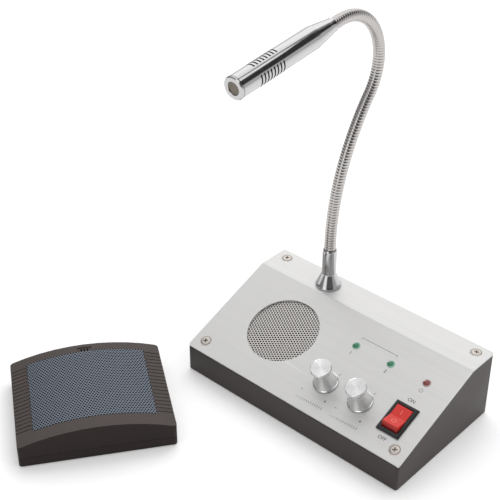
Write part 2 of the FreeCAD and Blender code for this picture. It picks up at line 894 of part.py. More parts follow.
def socket_nut():
    """The nut under the panel that holds the microphone socket."""
    low = -panel_thickness - tail_nut_height
    nut = hexagon(tail_nut_across, low, -panel_thickness)
    nut = nut.cut(round_bar(tail_diameter + 2 * slip, low - overrun, overrun, stem_sides))
    return on_flat(nut, neck_x, neck_back_inset)


def neck_centre(s):
    """The neck's centreline point at length s from the stem's top."""
    y, z, lean = neck_point(s)
    return V(neck_x, y, z)


def square_ring(centre, along, diameter, sides):
    """Corners of a ring square to a direction, counted from a steady X axis."""
    side = along.cross(V(1, 0, 0))
    corners = []
    for i in range(sides):
        angle = 2 * math.pi * i / sides
        corners.append(centre + V(1, 0, 0) * (diameter / 2 * math.cos(angle))
                       + side * (diameter / 2 * math.sin(angle)))
    return corners


def mitred_bar(points, diameter, sides):
    """A bar of flats along straight pieces that meet on their bisecting planes."""
    legs = [(b - a).normalize() for a, b in zip(points, points[1:])]
    rings = [square_ring(points[0], legs[0], diameter, sides)]
    for i, leg in enumerate(legs):
        square = leg if i + 1 == len(legs) else (leg + legs[i + 1]).normalize()
        target = points[i + 1]
        rings.append([p + leg * ((target - p).dot(square) / leg.dot(square)) for p in rings[-1]])
    return banded(rings)


def neck_length():
    """Length of the neck's centreline between the stem's top and the microphone."""
    lean = neck_lean_radius * math.radians(neck_lean_angle)
    crook = neck_crook_radius * math.radians(neck_crook_angle)
    return neck_start_straight + lean + crook + neck_end_straight


def neck_point(s):
    """The neck's centreline at length s from the stem's top: its y, its z and its lean in radians."""
    y, z, lean = neck_root_y, neck_root_z, 0.0
    arcs = ((neck_lean_radius, math.radians(neck_lean_angle)),
            (neck_crook_radius, -math.radians(neck_crook_angle)))
    run = s if s < neck_start_straight else neck_start_straight
    z += run
    s -= run
    for radius, turn in arcs:
        if s <= 0:
            return y, z, lean
        part = min(s / (radius * abs(turn)), 1.0) * turn
        side = 1 if turn > 0 else -1
        y += side * radius * (math.cos(lean) - math.cos(lean + part))
        z += side * radius * (math.sin(lean + part) - math.sin(lean))
        lean += part
        s -= radius * abs(part)
    return y + s * math.sin(lean), z + s * math.cos(lean), lean


def neck_joints():
    """Where along the centreline the neck's sections meet."""
    last = neck_length() - neck_last_joint
    step = (last - neck_first_joint) / (neck_joint_count - 1)
    return [neck_first_joint + i * step for i in range(neck_joint_count)]


def groove_ring(corner, before, after, reach):
    """Corners of a groove's floor, where the flanks of two ribs meet on the plane that halves the
    bend between them. The reach is from there to a crest."""
    square = (before + after).normalize()
    crest = square_ring(corner + after * reach, after, neck_diameter, neck_sides)
    root = square_ring(corner, after, neck_diameter - 2 * neck_groove_depth, neck_sides)
    ring = []
    for high, low in zip(crest, root):
        flank = low - high
        ring.append(high + flank * ((corner - high).dot(square) / flank.dot(square)))
    return ring


def neck_section(start, end, hinged_start, hinged_end):
    """A length of ribbed gooseneck with its lead bore. The ribs run straight and the bends lie in
    the grooves. An end at a joint is a shallow cone with its tip at the joint's centre, so that
    neighbours can tilt without touching."""
    crest = neck_diameter
    tip = lead_bore_diameter + 2 * seat_gap
    slant = math.tan(math.radians(neck_joint_cone)) / 2
    cone = [(slant * tip, tip), (slant * crest, crest)]
    plain = [(0, crest)]
    count = max(1, round((end - start) / neck_rib_pitch))
    rib = (end - start) / count
    stops = [neck_centre(start + i * rib) for i in range(count + 1)]
    legs = [(b - a).normalize() for a, b in zip(stops, stops[1:])]
    here = stops[0]
    rings = [square_ring(here + legs[0] * d, legs[0], diameter, neck_sides)
             for d, diameter in (cone if hinged_start else plain)]
    for i, leg in enumerate(legs):
        if i > 0:
            rings.append(groove_ring(here, legs[i - 1], leg, rib / 2))
        rings.append(square_ring(here + leg * (rib / 2), leg, crest, neck_sides))
        here = here + leg * rib
    rings += [square_ring(here - legs[-1] * d, legs[-1], diameter, neck_sides)
              for d, diameter in reversed(cone if hinged_end else plain)]
    solid = banded(rings)
    pieces = max(1, round((end - start) / neck_bore_step))
    run = [neck_centre(start + (end - start) * i / pieces) for i in range(pieces + 1)]
    run[0] = run[0] + (run[0] - run[1]).normalize() * slip
    run[-1] = run[-1] + (run[-1] - run[-2]).normalize() * slip
    return one_solid(solid.cut(mitred_bar(run, lead_bore_diameter, neck_bore_sides)))


def neck_sections():
    """Every length of the neck, from the one fixed in the stem to the one fixed in the microphone."""
    joints = neck_joints()
    starts = [-neck_seat_depth] + joints
    ends = joints + [neck_length() + neck_seat_depth]
    sections = {}
    for i, (start, end) in enumerate(zip(starts, ends)):
        sections["neck_section_%d" % i] = neck_section(start, end, i > 0, i < len(joints))
    return sections


# Microphone head

def on_head(shape, from_neck=0.0):
    """Places a shape drawn along +Z so that it continues the neck into the microphone."""
    y, z, lean = neck_point(neck_length())
    turn = FreeCAD.Rotation(V(1, 0, 0), -math.degrees(lean))
    place = FreeCAD.Placement(V(neck_x, y, z), turn)
    lift = FreeCAD.Placement(V(0, 0, from_neck), FreeCAD.Rotation())
    shape.Placement = place.multiply(lift).multiply(shape.Placement)
    return shape


def slot_group(turn):
    """One row of narrow slots across the side of the tube, as wide as a number of its flats."""
    reach = head_diameter
    half = math.pi * head_slot_flats / head_sides
    wedge = [V(0, 0, 0)]
    for side in (-1, 0, 1):
        a = math.radians(turn) + side * half
        wedge.append(V(reach * math.cos(a), reach * math.sin(a), 0))
    hollow = round_bar(head_diameter - 4 * head_wall, 0, head_length, small_sides)
    slots = []
    for i in range(head_slot_count):
        slot = Part.Face(closed_polygon(wedge))
        slot.translate(V(0, 0, head_length - head_slot_front - i * head_slot_pitch - head_slot_width / 2))
        slots.append(slot.extrude(V(0, 0, head_slot_width)).cut(hollow))
    return slots


def head_turned(outline):
    """A round bored piece of the microphone head, a corner on each slot group's middle."""
    return turned(outline, head_sides, True, head_slot_turn)


def mic_tube():
    """The slotted microphone tube, tapering down to the neck."""
    end = head_length - tip_ring_length
    seat = neck_diameter + 2 * slip
    bore = head_diameter - 2 * head_wall
    shoulder = head_taper_length
    tube = head_turned([(seat, 0), (head_neck_diameter, 0), (head_diameter, shoulder),
                        (head_diameter, end), (bore, end), (bore, shoulder + neck_seat_depth),
                        (lead_bore_diameter, neck_seat_depth + shoulder / 2),
                        (lead_bore_diameter, neck_seat_depth), (seat, neck_seat_depth)])
    for group in range(head_slot_groups):
        for slot in slot_group(head_slot_turn + group * 360 / head_slot_groups):
            tube = tube.cut(slot)
    return on_head(one_solid(tube))


def mic_tip_ring():
    """The bevelled ring that closes the tube round the mesh."""
    low, top, bevel = head_length - tip_ring_length, head_length, tip_ring_bevel
    return on_head(head_turned([(tip_opening_diameter, low), (head_diameter, low),
                                (head_diameter, top - bevel), (head_diameter - 2 * bevel, top),
                                (tip_opening_diameter + 2 * bevel, top),
                                (tip_opening_diameter, top - bevel)]))


def mic_mesh():
    """The mesh disc behind the ring."""
    top = head_length - tip_ring_length
    return on_head(round_bar(head_diameter - 2 * head_wall - 2 * seat_gap, top - tip_mesh_thickness, top,
                             nose_sides))


def mic_capsule():
    """The microphone insert behind the mesh."""
    top = head_length - tip_ring_length - tip_mesh_thickness
    return on_head(round_bar(mic_diameter, top - mic_length, top, small_sides))


def capsule_holder():
    """The rubber bush that holds the insert in the tube."""
    top = head_length - tip_ring_length - tip_mesh_thickness
    outer = round_bar(head_diameter - 2 * head_wall - 2 * seat_gap, top - mic_holder_length, top, nose_sides)
    inner = round_bar(mic_diameter + 2 * seat_gap, top - mic_length, top + overrun, small_sides)
    return on_head(outer.cut(inner))


# Outside unit

def outer_block(inset, z0, z1):
    """The unit's rounded rectangle between two heights, drawn in by an inset."""
    radius = max(outer_corner_radius - inset, seat_gap)
    return rounded_block(outer_width - 2 * inset, outer_depth - 2 * inset, radius, z0, z1,
                         0, outer_depth / 2)


def crown_corners(drop):
    """Corners across the crown, lowered by a drop: one flat for each column of holes in the
    grille and one from there to each side."""
    radius = outer_crown_radius - drop
    centre_z = outer_side_height + outer_crown - outer_crown_radius
    half = math.asin(grille_size()[0] / 2 / outer_crown_radius)
    edge = math.asin(outer_width / 2 / outer_crown_radius)
    angles = [half * (2 * i / outer_hole_columns - 1) for i in range(outer_hole_columns + 1)]
    return [V(radius * math.sin(a), 0, centre_z + radius * math.cos(a)) for a in [-edge] + angles + [edge]]


def under_crown(drop):
    """Everything under the crowned top, lowered by a drop."""
    corners = crown_corners(drop)
    for end, inner in ((0, 1), (-1, -2)):
        corners[end] = corners[end] + (corners[end] - corners[inner]).normalize() * overrun
    low = [V(corners[-1].x, 0, -overrun), V(corners[0].x, 0, -overrun)]
    block = Part.Face(closed_polygon(corners + low)).extrude(V(0, outer_depth + 2 * overrun, 0))
    block.translate(V(0, -overrun, 0))
    return block


def crown_layer(depth):
    """The top layer of the crown, down to a depth."""
    return under_crown(-overrun).cut(under_crown(depth))


def outer_height_at(x):
    """Height of the crown's surface at a distance from the middle."""
    centre_z = outer_side_height + outer_crown - outer_crown_radius
    return centre_z + math.sqrt(outer_crown_radius ** 2 - x ** 2)


def outer_posts():
    """Where the four posts for the underside screws stand."""
    half = outer_width / 2 - outer_post_inset
    return pad_places(half, outer_post_inset, outer_depth - outer_post_inset)


def side_grooves():
    """The shallow flat-bottomed grooves across both sides of the crown, open at the edge."""
    inner = outer_window_width / 2 + outer_grille_rim + outer_groove_side_gap
    edge = outer_width / 2
    low_in = outer_height_at(inner) - outer_groove_depth
    low_edge = outer_height_at(edge) - outer_groove_depth
    fall = (low_in - low_edge) / (edge - inner)
    top = 2 * outer_side_height
    count = int((outer_depth - outer_groove_front - outer_groove_back) / outer_groove_pitch) + 1
    strips = []
    for side in (-1, 1):
        corners = [(inner, low_in), (edge + overrun, low_edge - fall * overrun),
                   (edge + overrun, top), (inner, top)]
        for i in range(count):
            y = outer_groove_front + i * outer_groove_pitch - outer_groove_width / 2
            face = Part.Face(closed_polygon([V(side * x, y, z) for x, z in corners]))
            strips.append(face.extrude(V(0, outer_groove_width, 0)))
    return Part.makeCompound(strips)


def outer_top_shell():
    """The crowned cover: window for the grille, ribbed sides, microphone slots in a shallow
    recess, posts and a boot."""
    top = outer_side_height + outer_crown + overrun
    seam = outer_seam_height
    skin = outer_block(0, seam, top).common(under_crown(0))
    room = outer_block(outer_wall, seam - overrun, top).common(under_crown(outer_wall))
    shell = skin.cut(room)
    window = centred_box(outer_window_width, outer_window_depth, 0, top, 0,
                         outer_window_middle)
    rebate = centred_box(grille_size()[0] + 2 * seat_gap, grille_size()[1] + 2 * seat_gap, 0, top,
                         0, outer_window_middle).common(crown_layer(outer_grille_thickness))
    shell = shell.cut(window).cut(rebate).cut(side_grooves())
    posts = [round_bar(outer_post_diameter, seam, top, small_sides, x, y).common(under_crown(outer_wall / 2))
             for x, y in outer_posts()]
    boot_y = outer_depth - outer_slot_inset
    boot_low = outer_height_at(0) - outer_wall - outer_mic_length
    boot = round_bar(outer_mic_diameter + 2 * seat_gap + 2 * outer_boot_wall, boot_low, top, small_sides,
                     0, boot_y)
    boot = boot.common(under_crown(outer_wall / 2)).common(outer_block(outer_wall / 2, seam, top))
    shell = fused([shell, boot] + posts)
    well = round_bar(outer_mic_diameter + 2 * seat_gap, 0, outer_height_at(0) - outer_wall, small_sides,
                     0, boot_y)
    shell = shell.cut(well)
    for x, y in outer_posts():
        shell = shell.cut(round_bar(outer_screw_diameter + 2 * slip, 0, outer_screw_length, screw_sides, x, y))
    recess = centred_box(outer_slot_recess_width, outer_slot_recess_length, seam, top, 0, boot_y)
    shell = shell.cut(recess.common(crown_layer(outer_slot_recess_depth)))
    for i in range(outer_slot_count):
        x = (i - (outer_slot_count - 1) / 2) * outer_slot_pitch
        shell = shell.cut(centred_box(outer_slot_width, outer_slot_length, seam, top, x, boot_y))
    hole = round_bar(jack_nose_diameter + 2 * seat_gap, -overrun, outer_wall + overrun, nose_sides)
    return one_solid(shell.cut(outer_back(hole)))


def outer_back(shape):
    """Turns a shape drawn along +Z so that it points into the outside unit from its back."""
    turn = FreeCAD.Rotation(V(1, 0, 0), 90)
    place = FreeCAD.Placement(V(outer_jack_x, outer_depth, outer_jack_height), turn)
    shape.Placement = place.multiply(shape.Placement)
    return shape


def grille_size():
    """Width and depth of the outside unit's grille."""
    return outer_window_width + 2 * outer_grille_rim, outer_window_depth + 2 * outer_grille_rim


def outer_grille():
    """A bowed steel sheet pierced with a staggered pattern of diamonds, in the cover's rebate."""
    depth = grille_size()[1]
    under, over = crown_corners(outer_grille_thickness)[1:-1], crown_corners(0)[1:-1]
    sheet = Part.Face(closed_polygon(under + over[::-1])).extrude(V(0, depth, 0))
    sheet.translate(V(0, outer_window_front - outer_grille_rim, 0))
    rows = int((outer_window_depth - outer_hole_width) / outer_hole_pitch)
    for column, (a, b) in enumerate(zip(under, under[1:])):
        x = (a.x + b.x) / 2
        count = rows + 1 - column % 2
        holes = []
        for row in range(count):
            y = outer_window_middle + (row - (count - 1) / 2) * outer_hole_pitch
            holes.append(round_bar(outer_hole_width, 0, 2 * outer_side_height, 4, x, y))
        sheet = sheet.cut(Part.makeCompound(holes))
    return one_solid(sheet)


def outer_bottom_shell():
    """The shallow tray: a seam groove round its edge, screw holes and pad recesses."""
    step = outer_seam_height - outer_seam_groove
    tray = fused([outer_block(0, 0, step), outer_block(outer_seam_groove, step, outer_seam_height)])
    tray = tray.cut(outer_block(outer_wall, outer_wall, outer_seam_height + overrun))
    posts = [round_bar(outer_post_diameter, 0, outer_seam_height, small_sides, x, y)
             for x, y in outer_posts()]
    tray = fused([tray] + posts)
    for x, y in outer_posts():
        hole = turned([(outer_screw_head_diameter + 2 * seat_gap, -overrun),
                       (outer_screw_head_diameter + 2 * seat_gap, outer_screw_head_height),
                       (outer_screw_diameter + 2 * seat_gap, outer_screw_head_height),
                       (outer_screw_diameter + 2 * seat_gap, outer_seam_height + overrun)], screw_sides)
        hole.translate(V(x, y, 0))
        tray = tray.cut(hole)
    for x, y in outer_pads():
        tray = tray.cut(round_bar(outer_pad_diameter + 2 * seat_gap, -overrun, pad_sunk, pad_sides, x, y))
    return one_solid(tray)


def outer_pads():
    return pad_places(outer_width / 2 - outer_pad_inset, outer_pad_inset, outer_depth - outer_pad_inset)


def outer_screws():
    """The four screws that close the outside unit from below."""
    screws = []
    for x, y in outer_posts():
        screw = turned([(outer_screw_head_diameter, 0), (outer_screw_head_diameter, outer_screw_head_height),
                        (outer_screw_diameter, outer_screw_head_height),
                        (outer_screw_diameter, outer_screw_length)], screw_sides)
        screw.translate(V(x, y, 0))
        screws.append(screw)
    return Part.makeCompound(screws)


def outer_speaker():
    """The outside loudspeaker's three pieces, standing on its magnet on the tray's floor."""
    top = outer_wall + outer_speaker_depth
    cone_depth = outer_speaker_depth - outer_magnet_height
    sheet = outer_speaker_diameter * sheet_share
    inner = outer_speaker_diameter - 4 * sheet
    pieces = {
        "outer_speaker_basket": basket(outer_speaker_diameter, cone_depth, top),
        "outer_speaker_cone": paper_cone(inner, cone_depth - 2 * sheet, top),
        "outer_speaker_magnet": magnet(outer_magnet_diameter, outer_magnet_height,
                                       top - cone_depth),
    }
    for shape in pieces.values():
        shape.translate(V(0, outer_window_middle, 0))
    return pieces


def outer_mic():
    """The outside microphone insert in its boot, just under the slots."""
    high = outer_height_at(0) - outer_wall
    return round_bar(outer_mic_diameter, high - outer_mic_length, high, small_sides,
                     0, outer_depth - outer_slot_inset)


def outer_jack():
    """The outside unit's lead socket."""
    return outer_back(jack(jack_bore_length))


def main():
    os.makedirs("parts", exist_ok=True)
    pieces = {
        "base_casing": base_casing(),
        "top_panel": top_panel(),
        "panel_screws": panel_screws(),
        "rubber_feet": rubber_pads(pad_diameter, console_pads(), pad_sunk),
        "speaker_grille": speaker_grille(),
        "circuit_board": circuit_board(),
        "amplifier_chip": amplifier_chip(),
        "heat_sink": heat_sink(),
        "board_capacitors": board_capacitors(),
        "pot_nuts": pot_nuts(),
        "switch_housing": switch_housing(),
        "switch_rocker": switch_rocker(),
        "switch_tabs": switch_tabs(),
        "power_inlet": power_inlet(),
        "outside_jack": outside_jack(),
        "mic_socket": mic_socket(),
        "socket_nut": socket_nut(),
        "mic_tube": mic_tube(),
        "mic_tip_ring": mic_tip_ring(),
        "mic_mesh": mic_mesh(),
        "mic_capsule": mic_capsule(),
        "capsule_holder": capsule_holder(),
    }
    pieces.update(desk_speaker())
    for column, side in enumerate(("inside", "outside")):
        x = first_column + column * column_pitch
        pieces["pot_" + side] = volume_pot(x)
        pieces["shaft_" + side] = on_slope(shaft_shape(0), x, knob_row)
        pieces["knob_" + side] = knob(x)
    for column, name in enumerate(("lamp_inside", "lamp_outside", "lamp_power")):
        pieces[name] = lamp(column)
    pieces.update(neck_sections())
    outer = {
        "outer_top_shell": outer_top_shell(),
        "outer_grille": outer_grille(),
        "outer_bottom_shell": outer_bottom_shell(),
        "outer_screws": outer_screws(),
        "outer_pads": rubber_pads(outer_pad_diameter, outer_pads(), pad_sunk),
        "outer_mic": outer_mic(),
        "outer_jack": outer_jack(),
    }
    outer.update(outer_speaker())
    for name, shape in outer.items():
        pieces[name] = on_outer(shape)
    for name, shape in pieces.items():
        save(name, shape)
    for i, s in enumerate(neck_joints()):
        y, z, lean = neck_point(s)
        print("joint", i + 1, round(y, 3), round(z, 3), round(math.degrees(lean), 2))


main()
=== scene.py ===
"""Teller window intercom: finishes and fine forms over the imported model.

Every size is in metres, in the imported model's own frame: +Z up, +Y towards the customer. Each
piece has its own operator, and they are listed in the sidebar of the 3D view.
"""

import json
import math

import bmesh
import bpy
from bpy.props import FloatProperty, FloatVectorProperty, IntProperty, PointerProperty
from mathutils import Euler, Matrix, Vector


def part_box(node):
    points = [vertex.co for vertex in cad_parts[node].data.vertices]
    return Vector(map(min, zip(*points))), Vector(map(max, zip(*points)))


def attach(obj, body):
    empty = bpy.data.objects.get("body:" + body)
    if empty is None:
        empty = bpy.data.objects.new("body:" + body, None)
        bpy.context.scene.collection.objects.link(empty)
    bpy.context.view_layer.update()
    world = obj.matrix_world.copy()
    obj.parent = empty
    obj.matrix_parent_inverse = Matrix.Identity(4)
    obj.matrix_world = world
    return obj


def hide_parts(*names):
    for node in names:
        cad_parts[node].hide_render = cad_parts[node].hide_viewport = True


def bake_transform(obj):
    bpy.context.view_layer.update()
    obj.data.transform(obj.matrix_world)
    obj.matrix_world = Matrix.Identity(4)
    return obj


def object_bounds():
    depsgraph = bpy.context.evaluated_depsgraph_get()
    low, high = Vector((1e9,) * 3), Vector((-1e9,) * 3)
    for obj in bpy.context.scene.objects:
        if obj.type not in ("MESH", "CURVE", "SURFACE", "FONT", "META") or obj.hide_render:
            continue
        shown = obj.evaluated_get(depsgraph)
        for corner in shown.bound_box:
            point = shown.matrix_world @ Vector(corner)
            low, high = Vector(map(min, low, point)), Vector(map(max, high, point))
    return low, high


bl_info = {
    "name": "Counter intercom",
    "version": (1, 0, 0),
    "blender": (4, 5, 0),
    "location": "View3D > Sidebar > Intercom",
    "description": "Finishes and fine forms for a counter intercom",
    "category": "Object",
}

MM = 0.001

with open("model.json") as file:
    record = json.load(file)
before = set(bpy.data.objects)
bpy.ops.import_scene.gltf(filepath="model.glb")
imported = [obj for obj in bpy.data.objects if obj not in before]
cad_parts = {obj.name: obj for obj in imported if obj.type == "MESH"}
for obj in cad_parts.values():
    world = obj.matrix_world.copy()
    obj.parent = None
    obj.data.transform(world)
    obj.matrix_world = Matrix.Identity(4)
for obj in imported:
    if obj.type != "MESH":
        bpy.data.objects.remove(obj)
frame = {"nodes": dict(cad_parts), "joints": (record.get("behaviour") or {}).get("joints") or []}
NODES = frame["nodes"]
JOINTS = {joint["name"]: joint for joint in frame["joints"]}
CAD_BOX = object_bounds()
BOXES = {name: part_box(name) for name in NODES}


# Places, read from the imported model

def joint_place(name):
    """A joint's centre and its axis."""
    joint = JOINTS[name]
    return Vector(joint["pos_m"]), Vector(joint["axis"]).normalized()


def middle(node):
    """The middle of a node's box."""
    low, high = BOXES[node]
    return (Vector(low) + Vector(high)) / 2


def frame_from(origin, up, side=(1, 0, 0)):
    """A matrix whose Z is the given direction and whose X is as near as can be to the side."""
    z = Vector(up).normalized()
    y = z.cross(Vector(side)).normalized()
    x = y.cross(z)
    turn = Matrix((x, y, z)).transposed().to_4x4()
    return Matrix.Translation(Vector(origin)) @ turn


def slope_place():
    """The sloping panel's frame: origin on its front edge, Y up the slope, Z out of it."""
    knob, out = joint_place("inside_volume")
    on_panel = knob - out * JOINT_LIFT
    edge = BOXES["top_panel"][0].y
    return frame_from((0, edge, on_panel.z + (on_panel.y - edge) * out.y / out.z), out)


JOINT_LIFT = 8 * MM        # the knobs' joints stand this far above the panel
FLAT_TOP = BOXES["top_panel"][1].z


def on_slope(x, row, lift=0.0):
    """A matrix on the sloping panel, at x and at a distance up the slope."""
    return slope_place() @ Matrix.Translation((x, row, lift))


# Mesh helpers

def piece_from(name, verts, faces, material, place=None, crease=30):
    """A mesh object with smooth faces and sharp edges over an angle in degrees."""
    mesh = bpy.data.meshes.new(name)
    mesh.from_pydata([tuple(v) for v in verts], [], faces)
    mesh.update()
    bm = bmesh.new()
    bm.from_mesh(mesh)
    bmesh.ops.recalc_face_normals(bm, faces=bm.faces)
    bm.to_mesh(mesh)
    bm.free()
    mesh.polygons.foreach_set("use_smooth", [True] * len(mesh.polygons))
    mesh.set_sharp_from_angle(angle=math.radians(crease))
    mesh.materials.append(material)
    piece = bpy.data.objects.new(name, mesh)
    bpy.context.scene.collection.objects.link(piece)
    if place is not None:
        piece.matrix_world = place
    return piece


def settle(piece, body, slot, *nodes):
    """Sets a piece on its body and hides the nodes that it stands for. Its slot is not used."""
    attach(piece, body)
    if nodes:
        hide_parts(*nodes)
    return piece


def catch(piece):
    """Lets the small lights shine on a piece."""
    catchers = bpy.data.collections.get(CATCHERS) or bpy.data.collections.new(CATCHERS)
    catchers.objects.link(piece)


CATCHERS = "Small light catchers"


def lathe(profile, sides):
    """Vertices and faces of a turned form. A step with no radius closes it on the axis."""
    verts, rings = [], []
    for radius, height in profile:
        if radius == 0:
            rings.append([len(verts)] * sides)
            verts.append(Vector((0, 0, height)))
            continue
        rings.append(list(range(len(verts), len(verts) + sides)))
        for i in range(sides):
            angle = 2 * math.pi * i / sides
            verts.append(Vector((radius * math.cos(angle), radius * math.sin(angle), height)))
    faces = []
    for low, high in zip(rings, rings[1:]):
        for i in range(sides):
            j = (i + 1) % sides
            corners = list(dict.fromkeys([low[i], low[j], high[j], high[i]]))
            if len(corners) > 2:
                faces.append(corners)
    return verts, faces


def rounded(profile, radius, steps=4):
    """A profile with each inner corner rounded, as far as its neighbours leave room."""
    points = [Vector(p) for p in profile]
    out = [points[0]]
    for before, corner, after in zip(points, points[1:], points[2:]):
        reach = min(radius, (corner - before).length / 2, (after - corner).length / 2)
        start = corner + (before - corner).normalized() * reach
        end = corner + (after - corner).normalized() * reach
        for step in range(steps + 1):
            t = step / steps
            out.append(start * (1 - t) ** 2 + corner * 2 * t * (1 - t) + end * t ** 2)
    return out + [points[-1]]


def thicken(piece, depth, offset=-1.0, inner_material=0):
    """Gives a sheet its thickness. Its inside and its rims may have a finish of their own."""
    solid = piece.modifiers.new("Thickness", "SOLIDIFY")
    solid.thickness = depth
    solid.offset = offset
    solid.material_offset = solid.material_offset_rim = inner_material
    baked(piece, 40)


def baked(piece, crease):
    """Puts a piece's modifiers into its mesh and marks its edges over an angle in degrees."""
    bpy.context.view_layer.update()
    mesh = bpy.data.meshes.new_from_object(piece.evaluated_get(bpy.context.evaluated_depsgraph_get()))
    piece.modifiers.clear()
    piece.data = mesh
    mesh.set_sharp_from_angle(angle=math.radians(crease))


def soften(piece, width, segments=2, angle=35):
    """Rounds a piece's sharp edges."""
    weld = piece.modifiers.new("Weld", "WELD")
    weld.merge_threshold = 0.002 * MM
    bevel = piece.modifiers.new("Rounded edges", "BEVEL")
    bevel.width = width
    bevel.segments = segments
    bevel.limit_method = "ANGLE"
    bevel.angle_limit = math.radians(angle)
    bevel.harden_normals = True
    return bevel


def pierced_sheet(pitch, hole, reach, turn=0.0):
    """Vertices and faces of a flat sheet with staggered round holes. The reach is a test that
    says which places are part of the sheet."""
    corners, rim = [], []
    for i in range(12):
        angle = i * math.pi / 6 + turn
        ray = Vector((math.cos(angle), math.sin(angle)))
        corners.append(ray * (pitch / math.sqrt(3) if i % 2 == 0 else pitch / 2))
        rim.append(ray * hole / 2)
    across = Vector((math.cos(turn), math.sin(turn))) * pitch * math.sqrt(0.75)
    along = Vector((-math.sin(turn), math.cos(turn))) * pitch
    verts, faces, index = [], [], {}
    for column in range(-60, 61):
        for row in range(-60, 61):
            centre = across * column + along * (row + (column % 2) / 2)
            if reach(centre):
                add_cell(centre, corners, rim, verts, faces, index)
    return verts, faces


def add_cell(centre, outline, hole, verts, faces, index):
    """Adds one cell of a pierced sheet: quads from its outline to its hole."""
    ring = []
    for point in list(outline) + list(hole):
        place = centre + point
        key = (round(place.x / (0.001 * MM)), round(place.y / (0.001 * MM)))
        if key not in index:
            index[key] = len(verts)
            verts.append(Vector((place.x, place.y, 0)))
        ring.append(index[key])
    count = len(outline)
    for i in range(count):
        j = (i + 1) % count
        faces.append([ring[i], ring[j], ring[count + j], ring[count + i]])


def text_piece(name, words, size, material, place, thickness):
    """Printed characters as a thin mesh."""
    curve = bpy.data.curves.new(name, "FONT")
    curve.body = words
    curve.size = size
    curve.align_x = "CENTER"
    curve.align_y = "CENTER"
    curve.extrude = thickness
    curve.offset = size * 0.012
    curve.resolution_u = 4
    made = bpy.data.objects.new(name + "_curve", curve)
    bpy.context.scene.collection.objects.link(made)
    bpy.context.view_layer.update()
    mesh = bpy.data.meshes.new_from_object(made.evaluated_get(bpy.context.evaluated_depsgraph_get()))
    bpy.data.objects.remove(made)
    mesh.materials.clear()
    mesh.materials.append(material)
    piece = bpy.data.objects.new(name, mesh)
    bpy.context.scene.collection.objects.link(piece)
    piece.matrix_world = place
    return piece


def flat_piece(name, loops, material, place, thickness):
    """A printed shape: flat polygons with a little thickness."""
    verts, faces = [], []
    for loop in loops:
        faces.append(list(range(len(verts), len(verts) + len(loop))))
        verts += [Vector((x, y, 0)) for x, y in loop]
    piece = piece_from(name, verts, faces, material, place)
    thicken(piece, thickness, 1.0)
    return piece


def bar(x0, y0, x1, y1):
    """The corners of an upright rectangle."""
    return [(x0, y0), (x1, y0), (x1, y1), (x0, y1)]


def ring_loops(radius, width, gap=0.0, sides=40):
    """Quads of a ring, with an optional gap at its top in radians."""
    loops = []
    for i in range(sides):
        a = math.pi / 2 + gap / 2 + (2 * math.pi - gap) * i / sides
        b = math.pi / 2 + gap / 2 + (2 * math.pi - gap) * (i + 1) / sides
        inner, outer = radius - width / 2, radius + width / 2
        loops.append([(r * math.cos(t), r * math.sin(t))
                      for r, t in ((inner, a), (outer, a), (outer, b), (inner, b))])
    return loops


def carve(piece, verts, faces):
    """Cuts a closed form out of a piece's mesh."""
    tool_mesh = bpy.data.meshes.new("Tool")
    tool_mesh.from_pydata([tuple(v) for v in verts], [], faces)
    tool = bpy.data.objects.new("Tool", tool_mesh)
    bpy.context.scene.collection.objects.link(tool)
    tool.matrix_world = piece.matrix_world
    cut = piece.modifiers.new("Cut", "BOOLEAN")
    cut.operation = "DIFFERENCE"
    cut.solver = "EXACT"
    cut.object = tool
    baked(piece, 30)
    bpy.data.objects.remove(tool)


def block(x, y, z0, z1):
    """Corners and faces of a closed block, x and y being half sizes."""
    verts = [Vector(c) for c in ((-x, -y, z0), (x, -y, z0), (x, y, z0), (-x, y, z0),
                                 (-x, -y, z1), (x, -y, z1), (x, y, z1), (-x, y, z1))]
    faces = [[3, 2, 1, 0], [4, 5, 6, 7], [0, 1, 5, 4], [1, 2, 6, 5], [2, 3, 7, 6], [3, 0, 4, 7]]
    return verts, faces


# Material helpers

def finish(name, colour, metallic, roughness, **sockets):
    """A material with its Principled shader set; returns the material, its nodes and the shader."""
    material = bpy.data.materials.new(name)
    material.use_nodes = True
    material.diffuse_color = (*colour[:3], 1)
    tree = material.node_tree
    shader = tree.nodes["Principled BSDF"]
    shader.inputs["Base Color"].default_value = (*colour[:3], 1)
    shader.inputs["Metallic"].default_value = metallic
    shader.inputs["Roughness"].default_value = roughness
    for socket, value in sockets.items():
        shader.inputs[socket.replace("_", " ")].default_value = value
    return material, tree, shader


def add(tree, kind, **values):
    """A node with its properties and input values set."""
    node = tree.nodes.new(kind)
    for key, value in values.items():
        if key in node.inputs:
            node.inputs[key].default_value = value
        else:
            setattr(node, key, value)
    return node


def stretched(tree, scale):
    """The object's own coordinates, scaled along each axis."""
    place = tree.nodes.new("ShaderNodeTexCoord")
    mapping = add(tree, "ShaderNodeMapping")
    mapping.inputs["Scale"].default_value = scale
    tree.links.new(place.outputs["Object"], mapping.inputs["Vector"])
    return mapping.outputs["Vector"]


def noise(tree, scale, detail=3.0, roughness=0.5):
    """A noise over the object's coordinates, the scale being cycles per metre on each axis."""
    node = add(tree, "ShaderNodeTexNoise", Scale=1.0, Detail=detail, Roughness=roughness)
    tree.links.new(stretched(tree, scale), node.inputs["Vector"])
    return node.outputs["Fac"]


def ranged(tree, value, low, high, start=0.3, end=0.7):
    """A value spread from one range onto another."""
    node = add(tree, "ShaderNodeMapRange")
    node.inputs["From Min"].default_value = start
    node.inputs["From Max"].default_value = end
    node.inputs["To Min"].default_value = low
    node.inputs["To Max"].default_value = high
    tree.links.new(value, node.inputs["Value"])
    return node.outputs["Result"]


